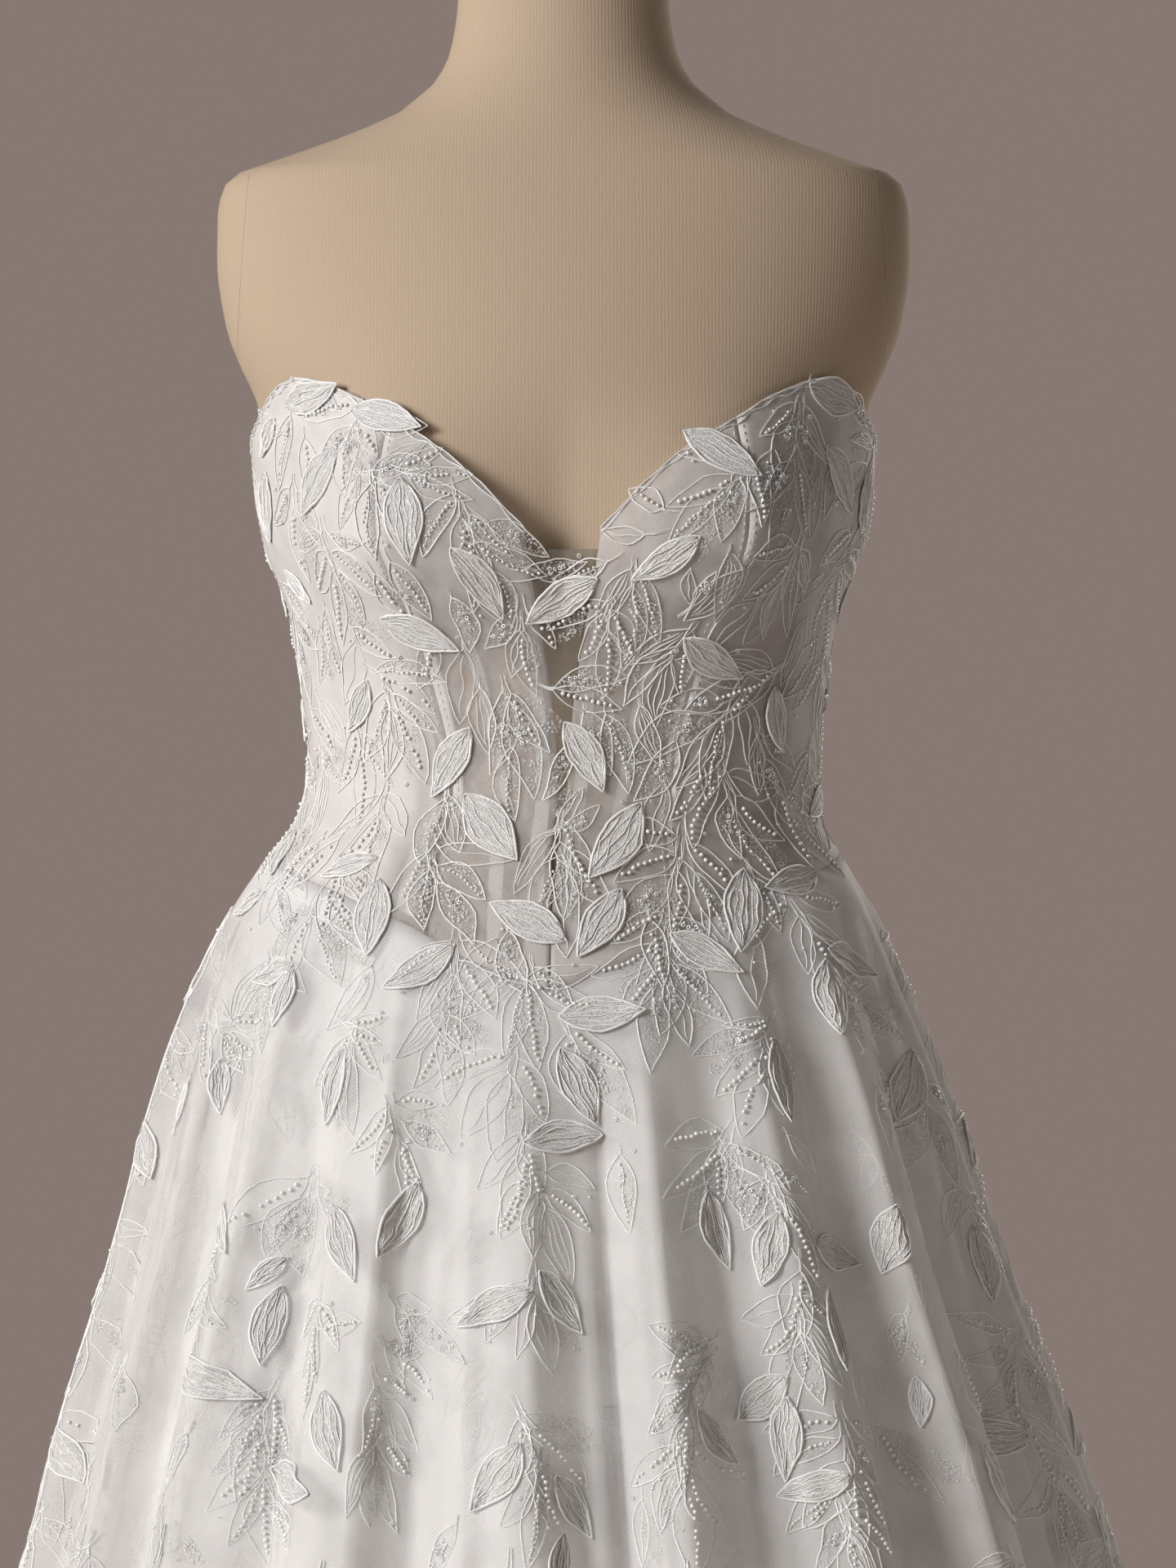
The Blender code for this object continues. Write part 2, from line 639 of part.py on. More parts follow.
def spaced(leaves):
    """The leaves without those that would lie on an earlier one."""
    kept = []
    for leaf in leaves:
        scale = np.array([metric(leaf.u, leaf.z)[0], 1.0])
        outline = np.array(leaf_points(leaf, LEAF_FRACTIONS)) * scale
        others = [o for o in kept if abs(o.z - leaf.z) < 0.12 and abs(o.u - leaf.u) * scale[0] < 0.12]
        if all(apart(outline, np.array(leaf_points(o, LEAF_FRACTIONS)) * scale, LEAF_GAP) for o in others):
            kept.append(leaf)
    return kept


# ---------------------------------------------------------------- cloth walls


def clear_of_edge(point, edge, margin):
    """Whether a chart point is inside a closed outline, and at least margin from it."""
    a, b = edge, np.roll(edge, -1, axis=0)
    d = b - a
    t = np.clip(((point - a) * d).sum(1) / (d * d).sum(1), 0, 1)
    near = np.linalg.norm(point - a - t[:, None] * d, axis=1).min()
    crossing = (a[:, 1] > point[1]) != (b[:, 1] > point[1])
    at_x = a[:, 0] + (point[1] - a[:, 1]) / np.where(d[:, 1] == 0, 1, d[:, 1]) * d[:, 0]
    return near > margin and (crossing & (at_x > point[0])).sum() % 2 == 1


def cloth_wall(name, grid, surface, thickness, chart, finish, collection, leaves=(), margin=0.0):
    """A wall of cloth over a grid of (u, z) places, [row, column].

    Its inside is plain, and thick leaves are raised in its outside. The chart turns (u, z) into the
    flat coordinates in which the outside is cut into triangles.
    """
    rows, columns = grid.shape[:2]
    places = grid.reshape(-1, 2)
    number = np.arange(rows * columns).reshape(rows, columns)
    edge = [*number[0, :], *number[1:, -1], *number[-1, -2::-1], *number[-2:0:-1, 0]]
    outline = np.array([chart(*places[i]) for i in edge])
    raised = []
    for leaf in leaves:
        shape = leaf_points(leaf, LEAF_FRACTIONS)
        if all(clear_of_edge(np.array(chart(*p)), outline, margin) for p in shape):
            raised.append((leaf, shape))
    flat = [tuple(p) for p in places]
    heights = [0.0] * len(flat)
    on_edge = set(edge)
    covered = set()
    for leaf, _ in raised:
        along, aside = leaf_share(leaf, places[:, 0], places[:, 1])
        hidden = (along > -0.12) & (along < 1.12) & (np.abs(aside) < 1.25)
        covered |= set(np.nonzero(hidden)[0]) - on_edge
    extra_edges = []
    for leaf, shape in raised:
        first = len(flat)
        flat += shape + leaf_points(leaf, [(share, 0.0) for share in LEAF_RIDGE])
        heights += [0.0] * len(shape) + [LEAF_RISE] * len(LEAF_RIDGE)
        extra_edges += [(first + i, first + (i + 1) % len(shape)) for i in range(len(shape))]
    kept = [i for i in range(len(flat)) if i not in covered]
    new_number = {old: new for new, old in enumerate(kept)}
    made = delaunay_2d_cdt(
        [Vector(chart(*flat[i])) for i in kept],
        [(new_number[a], new_number[b]) for a, b in extra_edges],
        [[new_number[i] for i in edge]],
        1,
        1e-7,
    )
    triangles, origins = made[2], made[3]
    sources = [kept[o[0]] for o in origins]
    outer_uz = np.array([flat[i] for i in sources])
    outward = normals(surface, outer_uz[:, 0], outer_uz[:, 1])
    rise = np.array([heights[i] for i in sources])[:, None]
    outer = surface(outer_uz[:, 0], outer_uz[:, 1]) + outward * rise
    inward = normals(surface, places[:, 0], places[:, 1])
    inner = surface(places[:, 0], places[:, 1]) - inward * thickness

    shape = bmesh.new()
    outer_at = {source: shape.verts.new(point) for source, point in zip(sources, outer)}
    outer_verts = [outer_at[source] for source in sources]
    inner_verts = [shape.verts.new(point) for point in inner]
    for triangle in triangles:
        shape.faces.new([outer_verts[i] for i in triangle])
    for r in range(rows - 1):
        for c in range(columns - 1):
            a, b, d, e = number[r, c], number[r, c + 1], number[r + 1, c + 1], number[r + 1, c]
            shape.faces.new([inner_verts[i] for i in (a, b, d)])
            shape.faces.new([inner_verts[i] for i in (a, d, e)])
    for i, a in enumerate(edge):
        b = edge[(i + 1) % len(edge)]
        shape.faces.new([outer_at[a], outer_at[b], inner_verts[b], inner_verts[a]])
    obj = add_object(name, finish_mesh(name, shape), finish, collection)
    obj.data.set_sharp_from_angle(angle=math.radians(60))
    return obj


def coons_patch(bottom, top, left, right, rows, columns):
    """A grid of (u, z) places between four edge curves, each a function of 0 to 1."""
    grid = np.zeros((rows, columns, 2))
    for r in range(rows):
        v = r / (rows - 1)
        for c in range(columns):
            h = c / (columns - 1)
            corners = (
                (1 - h) * (1 - v) * bottom(0)
                + h * (1 - v) * bottom(1)
                + (1 - h) * v * top(0)
                + h * v * top(1)
            )
            grid[r, c] = (
                (1 - v) * bottom(h) + v * top(h) + (1 - h) * left(v) + h * right(v) - corners
            )
    return grid


# ---------------------------------------------------------------- bodice


def half_gap_angle(z):
    """Half of a seam gap, as an angle at the fitted waist and bust."""
    return SEAM_GAP / 2 / float(garment_half_width(z))


def upright_edge(angle_of_z, bottom_z, top_z, gap_side):
    """An upright panel edge, moved off its seam by half the gap to gap_side."""

    def place(v):
        z = bottom_z + (top_z - bottom_z) * v
        return np.array([float(angle_of_z(z)) + gap_side * half_gap_angle(z), z])

    return place


def level_edge(z_of_angle, start, end, lift):
    """A top or bottom edge between two angles, moved up by lift."""

    def place(h):
        u = start + (end - start) * h
        return np.array([u, float(z_of_angle(u)) + lift])

    return place


def where_seam_meets(angle_of_z, z_of_angle, guess_z, lift=0.0):
    """The height at which an upright seam meets an edge."""
    z = guess_z
    for _ in range(40):
        z = float(z_of_angle(float(angle_of_z(z)))) + lift
    return z


def plunge_angle(z):
    gap = float(plunge_half_gap(z)) + SEAM_GAP / 2
    return gap / float(garment_half_width(z))


def bodice_panel(name, inner_edge, outer_edge, rows, columns, leaves, collection, plunge=False):
    """One panel of the wearer's left side, then its mirror image on the right."""
    lift = SEAM_GAP / 2
    outer_bottom = where_seam_meets(outer_edge, waist_seam_z, 1.0, lift)
    outer_top = where_seam_meets(outer_edge, neckline_z, 1.2)
    if plunge:
        bottom_z = float(waist_seam_z(0.0)) + lift
        top_z = NECKLINE[0].z
        left = lambda v: np.array([plunge_angle(bottom_z + (top_z - bottom_z) * v), bottom_z + (top_z - bottom_z) * v])
    else:
        bottom_z = where_seam_meets(inner_edge, waist_seam_z, 1.0, lift)
        top_z = where_seam_meets(inner_edge, neckline_z, 1.2)
        left = upright_edge(inner_edge, bottom_z, top_z, 1)
    right = upright_edge(outer_edge, outer_bottom, outer_top, -1)
    bottom = level_edge(waist_seam_z, left(0)[0], right(0)[0], lift)
    top = level_edge(neckline_z, left(1)[0], right(1)[0], 0)
    left_end, right_end = left(1), right(1)
    ends = (top(0)[1] - left_end[1], top(1)[1] - right_end[1])
    level_top = lambda h: top(h) - np.array([0, ends[0] * (1 - h) + ends[1] * h])
    starts = (bottom(0)[1] - left(0)[1], bottom(1)[1] - right(0)[1])
    level_bottom = lambda h: bottom(h) - np.array([0, starts[0] * (1 - h) + starts[1] * h])
    grid = coons_patch(level_bottom, level_top, left, right, rows, columns)
    for side, label in ((1, "left"), (-1, "right")):
        sided = grid * np.array([side, 1])
        chart = lambda u, z: (u * 0.15, z)
        cloth_wall(
            f"{name}_{label}", sided, garment_surface, WALL, chart, "lace", collection, leaves, LEAF_EDGE_MARGIN
        )
    return grid


def bodice(collection):
    """Makes the panels, insert and bones. Returns the waist seam's height as the panels have it."""
    leaves = spaced(bodice_leaves())
    front = bodice_panel("bodice_centre_front", None, front_princess, 15, 7, leaves, collection, plunge=True)
    side = bodice_panel("bodice_side_front", front_princess, side_seam, 15, 11, leaves, collection)
    side_back = bodice_panel("bodice_side_back", side_seam, back_princess, 10, 8, leaves, collection)
    back = bodice_panel("bodice_back", back_princess, centre_back, 10, 6, leaves, collection)
    plunge_insert(front, collection)
    for bone in BONES:
        bone_strip(bone, {"centre_front": front, "side_front": side}[bone.panel], collection)
    knots = np.concatenate([grid[0] for grid in (front, side, side_back, back)])
    return lambda u: np.interp(np.abs(u), knots[:, 0], knots[:, 1] - SEAM_GAP / 2)


def plunge_insert(front, collection):
    """The sheer mesh between the centre front panels, with a level top edge."""
    edge = front[:, 0]
    zs = [z for z in edge[:, 1] if INSERT_BOTTOM_Z < z < INSERT_TOP_Z]
    zs = np.array([INSERT_BOTTOM_Z, *zs, INSERT_TOP_Z])
    halves = np.interp(zs, edge[:, 1], edge[:, 0]) - SEAM_GAP / garment_half_width(zs)
    grid = np.stack([np.stack([halves * t, zs], -1) for t in np.linspace(-1, 1, INSERT_COLUMNS)], 1)
    chart = lambda u, z: (u * 0.15, z)
    cloth_wall("plunge_insert", grid, garment_surface, INSERT_WALL, chart, "mesh", collection)


def bone_strip(bone, grid, collection):
    """A flat bone lying inside a panel, made from the points of its inside. It is mirrored."""
    columns = grid.shape[1]
    for side, label in ((1, "left"), (-1, "right")):
        shape = bmesh.new()
        rings = []
        for row in [BONE_END_SHARE, *range(1, bone.last_row + 1)]:
            share = bone.low + (bone.high - bone.low) * row / bone.last_row
            edge = np.concatenate([inner_row(grid, side, row), inner_normal_row(grid, side, row)], -1)
            spacing = np.linalg.norm(edge[1:, :3] - edge[:-1, :3], axis=1).mean()
            middle = share * (columns - 1)
            ends = []
            for off in (-1, 1):
                at = middle + off * BONE_WIDTH / 2 / spacing
                ends.append([np.interp(at, np.arange(columns), edge[:, k]) for k in range(6)])
            ring = []
            for end, depth in ((0, 0), (1, 0), (1, 1), (0, 1)):
                place, outward = np.array(ends[end][:3]), np.array(ends[end][3:])
                ring.append(shape.verts.new(place - outward * (BONE_GAP + depth * BONE_THICK)))
            rings.append(ring)
        for a, b in zip(rings, rings[1:]):
            for i in range(4):
                shape.faces.new([a[i], a[(i + 1) % 4], b[(i + 1) % 4], b[i]])
        shape.faces.new(rings[0])
        shape.faces.new(rings[-1])
        name = f"bone_{bone.name}_{label}"
        add_object(name, finish_mesh(name, shape), "bone", collection, smooth=False)


def inner_row(grid, side, row):
    """The inside of a panel wall along a grid row, which may lie between two rows."""
    low = int(row)
    share = row - low
    rows = []
    for r in (low, min(low + 1, len(grid) - 1)):
        u, z = side * grid[r, :, 0], grid[r, :, 1]
        rows.append(garment_surface(u, z) - normals(garment_surface, u, z) * WALL)
    return rows[0] * (1 - share) + rows[1] * share


def inner_normal_row(grid, side, row):
    low = int(row)
    return normals(garment_surface, side * grid[low, :, 0], grid[low, :, 1])


# ---------------------------------------------------------------- skirts


def skirt_grid(angles, rows, hem_z, seam, lift):
    """Places below the waist seam, from the hem up, at the given angles."""
    grid = np.zeros((len(rows), len(angles), 2))
    for r, share in enumerate(reversed(rows)):
        top = seam(angles) - lift
        grid[r, :, 0] = angles
        grid[r, :, 1] = top + (hem_z - top) * share
    return grid


def fold_angles(start, end):
    """Angles between start and end, the same number for each fold."""
    crests = np.radians([f.crest_degrees for f in FOLDS])
    crests = np.concatenate([crests - 2 * math.pi, crests, crests + 2 * math.pi])
    steps = [a + (b - a) * k / STEPS_PER_FOLD for a, b in zip(crests, crests[1:]) for k in range(STEPS_PER_FOLD)]
    nearest = (end - start) / 400
    inside = [a for a in steps if start + nearest < a < end - nearest]
    return np.array([start, *inside, end])


def skirt_panel(name, start, end, seam, leaves, collection):
    gap = SEAM_GAP / 2 / float(garment_half_width(1.0))
    angles = fold_angles(start + gap, end - gap)
    grid = skirt_grid(angles, SKIRT_ROWS, HEM_Z, seam, SEAM_GAP / 2)
    row_numbers = np.arange(len(SKIRT_ROWS), dtype=float)[::-1]

    def chart(u, z):
        top = float(seam(u)) - SEAM_GAP / 2
        share = (top - z) / (top - HEM_Z)
        return (
            float(np.interp(u, angles, np.arange(len(angles)))),
            float(np.interp(share, SKIRT_ROWS, row_numbers)),
        )

    cloth_wall(name, grid, garment_surface, WALL, chart, "tulle", collection, leaves, 0.12)


def underskirt_panel(name, start, end, seam, collection):
    gap = SEAM_GAP / 2 / float(garment_half_width(1.0))
    count = max(2, round((end - start) / LINING_STEP) + 1)
    angles = np.linspace(start + gap, end - gap, count)
    grid = skirt_grid(angles, LINING_ROWS, UNDERSKIRT_HEM_Z, seam, SEAM_GAP)
    numbers = np.arange(len(LINING_ROWS), dtype=float)[::-1]

    def chart(u, z):
        top = float(seam(u)) - SEAM_GAP
        share = (top - z) / (top - UNDERSKIRT_HEM_Z)
        return (
            float(np.interp(u, angles, np.arange(len(angles)))),
            float(np.interp(share, LINING_ROWS, numbers)),
        )

    cloth_wall(name, grid, lining_surface, LINING_WALL, chart, "satin", collection)


def skirts(seam, collection):
    leaves = spaced(skirt_leaves())
    turned = [leaf._replace(u=leaf.u + 2 * math.pi) for leaf in leaves if leaf.u < 0]
    turned_back = [leaf._replace(u=leaf.u - 2 * math.pi) for leaf in leaves if leaf.u > 0]
    skirt_panel("skirt_front", -SKIRT_SIDE, SKIRT_SIDE, seam, leaves, collection)
    skirt_panel("skirt_back_left", SKIRT_SIDE, math.pi, seam, leaves + turned, collection)
    skirt_panel("skirt_back_right", -math.pi, -SKIRT_SIDE, seam, leaves + turned_back, collection)
    underskirt_panel("underskirt_front", -SKIRT_SIDE, SKIRT_SIDE, seam, collection)
    underskirt_panel("underskirt_back_left", SKIRT_SIDE, math.pi, seam, collection)
    underskirt_panel("underskirt_back_right", -math.pi, -SKIRT_SIDE, seam, collection)


# ---------------------------------------------------------------- dress form and stand


def form_shape(name, collection):
    """The whole padded figure, lofted through its level sections."""
    angles = np.linspace(0, 2 * math.pi, FORM_SIDES, endpoint=False)
    angles = (angles + math.pi) % (2 * math.pi) - math.pi
    heights = [row.z for row in FORM]
    heights += FORM_CUP_ROWS
    shape = bmesh.new()
    rings = []
    for z in sorted(heights):
        rings.append([shape.verts.new(p) for p in form_surface(angles, np.full(FORM_SIDES, z))])
    for a, b in zip(rings, rings[1:]):
        for i in range(FORM_SIDES):
            j = (i + 1) % FORM_SIDES
            shape.faces.new([a[i], a[j], b[j], b[i]])
    shape.faces.new(rings[0])
    shape.faces.new(rings[-1])
    obj = add_object(name, finish_mesh(name, shape), "form", collection)
    obj.data.set_sharp_from_angle(angle=math.radians(50))
    return obj


def arm_block(name, side, reach_in, cutters):
    """A block beyond the armhole plane, which lets the shoulder's end be cut off or kept."""
    bpy.ops.mesh.primitive_cube_add(size=1)
    block = bpy.context.object
    block.name = name
    thick = 0.06
    block.scale = (thick, 0.4, 0.4)
    block.location = (side * (ARM_CAP_X - reach_in + thick / 2), 0, 1.33)
    block.rotation_euler = (0, side * -ARM_CAP_TILT, 0)
    bpy.ops.object.transform_apply(location=False, rotation=False, scale=True)
    for other in list(block.users_collection):
        other.objects.unlink(block)
    cutters.objects.link(block)
    block.hide_render = True
    block.display_type = "WIRE"
    return block


def boolean(obj, other, operation):
    cut = obj.modifiers.new(operation.lower(), "BOOLEAN")
    cut.operation = operation
    cut.object = other


def dress_form(collection, cutters):
    torso = form_shape("form_torso", collection)
    for side, label in ((1, "left"), (-1, "right")):
        cap = form_shape(f"form_arm_cap_{label}", collection)
        boolean(cap, arm_block(f"keep_{label}", side, 0.0, cutters), "INTERSECT")
        boolean(torso, arm_block(f"cut_{label}", side, SEAM_GAP, cutters), "DIFFERENCE")
    neck = FORM[0]
    shape = bmesh.new()
    bottom = neck.z + SEAM_GAP
    rings = []
    angles = np.linspace(0, 2 * math.pi, FORM_SIDES, endpoint=False)
    for rise, inset in ((0.0, 0.0), (0.7, 0.0), (1.0, 0.12)):
        half = neck.half_width * (1 - inset)
        deep = (neck.front + neck.back) / 2 * (1 - inset)
        middle = (neck.back - neck.front) / 2
        z = bottom + rise * NECK_CAP_THICK
        rings.append([shape.verts.new((half * math.sin(a), middle - deep * math.cos(a), z)) for a in angles])
    for a, b in zip(rings, rings[1:]):
        for i in range(FORM_SIDES):
            j = (i + 1) % FORM_SIDES
            shape.faces.new([a[i], a[j], b[j], b[i]])
    shape.faces.new(rings[0])
    shape.faces.new(rings[-1])
    add_object("form_neck_cap", finish_mesh("form_neck_cap", shape), "form", collection, smooth=False)


def stand(collection):
    torso_bottom = FORM[-1].z
    collar_top = torso_bottom - SEAM_GAP
    collar_bottom = collar_top - COLLAR_HEIGHT
    cylinder("stand_collar", COLLAR_RADIUS, collar_bottom, collar_top, "steel", collection, 24, 0.001)
    cylinder("stand_pole", POLE_RADIUS, BASE_THICK + SEAM_GAP, collar_bottom - SEAM_GAP, "steel", collection, 20)
    cylinder("stand_base", BASE_RADIUS, 0, BASE_THICK, "steel", collection, 36, 0.003)


def new_collection(name):
    made = bpy.data.collections.new(name)
    bpy.context.scene.collection.children.link(made)
    return made


def main():
    for obj in list(bpy.data.objects):
        bpy.data.objects.remove(obj, do_unlink=True)
    collection = new_collection("wedding_dress_on_form")
    cutters = new_collection("cutters")
    seam = bodice(collection)
    skirts(seam, collection)
    dress_form(collection, cutters)
    stand(collection)


main()
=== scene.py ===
import math

import bmesh
import bpy
import numpy as np
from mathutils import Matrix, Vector


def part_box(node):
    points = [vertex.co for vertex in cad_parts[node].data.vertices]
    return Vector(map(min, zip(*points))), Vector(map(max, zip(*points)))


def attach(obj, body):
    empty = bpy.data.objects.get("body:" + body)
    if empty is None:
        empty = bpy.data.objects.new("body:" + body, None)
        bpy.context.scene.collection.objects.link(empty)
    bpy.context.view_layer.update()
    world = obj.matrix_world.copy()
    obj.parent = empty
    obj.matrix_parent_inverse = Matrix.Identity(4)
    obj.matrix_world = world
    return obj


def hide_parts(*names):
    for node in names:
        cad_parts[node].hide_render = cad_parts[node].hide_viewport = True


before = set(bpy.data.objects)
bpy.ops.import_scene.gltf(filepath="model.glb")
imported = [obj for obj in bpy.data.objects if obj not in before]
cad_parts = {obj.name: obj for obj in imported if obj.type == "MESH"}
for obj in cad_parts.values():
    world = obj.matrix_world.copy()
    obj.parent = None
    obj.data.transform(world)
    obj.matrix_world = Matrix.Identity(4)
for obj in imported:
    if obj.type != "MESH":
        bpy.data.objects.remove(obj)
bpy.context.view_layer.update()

# Metres, +Z up. The dress faces -Y and the wearer's left is +X. A place on the cloth is (u, z):
# u is the angle round the figure from the centre front, and z is the height.


def table(columns, rows):
    return dict(zip(columns.split(), np.array(rows, float).T))


garmentSections = table("z halfWidth front back", [
    (1.2900, 0.1890, 0.1040, 0.1060), (1.2731, 0.1820, 0.1050, 0.1060), (1.2455, 0.1722, 0.1060, 0.1050),
    (1.2179, 0.1716, 0.1065, 0.1030), (1.1765, 0.1658, 0.1060, 0.1000), (1.1351, 0.1510, 0.1020, 0.0970),
    (1.0937, 0.1442, 0.0990, 0.0950), (1.0523, 0.1403, 0.0985, 0.0945), (1.0247, 0.1440, 0.1020, 0.0990),
    (0.9971, 0.1615, 0.1090, 0.1100), (0.9695, 0.1775, 0.1190, 0.1250), (0.9281, 0.1950, 0.1360, 0.1470),
    (0.8729, 0.2145, 0.1590, 0.1760), (0.7901, 0.2370, 0.1920, 0.2190), (0.6935, 0.2690, 0.2290, 0.2620),
    (0.6107, 0.2930, 0.2620, 0.2930), (0.3000, 0.3900, 0.3770, 0.3980), (0.0180, 0.4740, 0.4710, 0.4750),
])
formSections = table("z halfWidth front back", [
    (1.5050, 0.0575, 0.0440, 0.0640), (1.4740, 0.0581, 0.0460, 0.0660), (1.4470, 0.0619, 0.0500, 0.0700),
    (1.4290, 0.0702, 0.0550, 0.0745), (1.4200, 0.0801, 0.0575, 0.0770), (1.4110, 0.0910, 0.0600, 0.0795),
    (1.4020, 0.1110, 0.0625, 0.0820), (1.3930, 0.1345, 0.0650, 0.0845), (1.3840, 0.1610, 0.0680, 0.0870),
    (1.3750, 0.1841, 0.0710, 0.0890), (1.3660, 0.1885, 0.0740, 0.0905), (1.3570, 0.1904, 0.0770, 0.0920),
    (1.3300, 0.1908, 0.0860, 0.0950), (1.2940, 0.1859, 0.0950, 0.0980), (1.2731, 0.1785, 0.0990, 0.1000),
    (1.2600, 0.1722, 0.1000, 0.1000), (1.2455, 0.1672, 0.1010, 0.0995), (1.2179, 0.1666, 0.1015, 0.0978),
    (1.1765, 0.1608, 0.1010, 0.0948), (1.1351, 0.1450, 0.0972, 0.0920), (1.0937, 0.1385, 0.0942, 0.0900),
    (1.0523, 0.1353, 0.0936, 0.0895), (1.0247, 0.1380, 0.0960, 0.0935), (0.9971, 0.1455, 0.1000, 0.1005),
    (0.9500, 0.1580, 0.1060, 0.1130), (0.9000, 0.1670, 0.1090, 0.1220), (0.8500, 0.1700, 0.1090, 0.1230),
    (0.8000, 0.1660, 0.1060, 0.1170), (0.7700, 0.1600, 0.1020, 0.1110), (0.7600, 0.1520, 0.0960, 0.1050),
])
swayRows = table("z sway", [
    (1.040, 0.0000), (0.995, -0.0050), (0.940, -0.0065), (0.860, -0.0045), (0.760, -0.0010),
    (0.690, 0.0020), (0.610, 0.0050), (0.018, -0.0012),
])
# Edges and seams: degrees round the figure from the centre front, and heights
neckline = table("degrees z", [
    (6.4, 1.178), (9, 1.187), (14.6, 1.205), (22.5, 1.224), (31, 1.237), (41, 1.252), (53, 1.261),
    (60, 1.259), (66, 1.254), (73, 1.245), (78, 1.239), (92, 1.228), (110, 1.219), (140, 1.206),
    (180, 1.197),
])
waistSeam = table("degrees z", [
    (0, 0.933), (13, 0.949), (26, 0.968), (49, 0.988), (92, 1.006), (140, 1.010), (180, 1.008),
])
plunge = table("z halfGap", [
    (0.933, 0.0002), (0.985, 0.0004), (1.000, 0.0014), (1.040, 0.0024), (1.080, 0.0052), (1.135, 0.0130),
    (1.178, 0.0190),
])
frontPrincess = table("z degrees", [
    (0.962, 21), (1.050, 25), (1.110, 29.5), (1.172, 33), (1.252, 31),
])
sideSeam = table("z degrees", [
    (0.900, 92), (1.300, 92),
])
backPrincess = table("z degrees", [
    (1.010, 148), (1.060, 146), (1.130, 142), (1.207, 140),
])
centreBack = table("z degrees", [
    (0.900, 180), (1.300, 180),
])
cupValues = {
    "angle": math.radians(33), "z": 1.172, "spreadIn": math.radians(36), "spreadOut": math.radians(21),
    "spreadUp": 0.062, "spreadDown": 0.050, "rise": 0.036, "formRise": 0.033,
    "formSpreadIn": math.radians(24),
}
# Big folds of the skirt: where each crest runs, how deep it is at the hem and how far it leans
foldTable = table("crest depth lean", [
    (-170, 0.050, 0.25), (-148, 0.042, -0.20), (-128, 0.052, 0.30), (-107, 0.040, -0.15),
    (-85, 0.046, 0.30), (-65, 0.038, 0.35), (-46, 0.044, -0.30), (-27, 0.036, 0.30), (-6, 0.046, 0.20),
    (15, 0.048, -0.35), (32, 0.036, 0.30), (52, 0.048, -0.30), (73, 0.040, 0.30), (94, 0.046, -0.20),
    (114, 0.040, 0.25), (133, 0.050, -0.30), (153, 0.042, 0.20), (172, 0.048, -0.25),
])
foldValues = {
    "growth": 0.35, "crestShare": 0.35, "liningShare": 0.35, "liningGapTop": 0.0024, "liningGapMore": 0.010,
    "liningGapGrowth": 0.10, "creaseShare": 1.5,
}
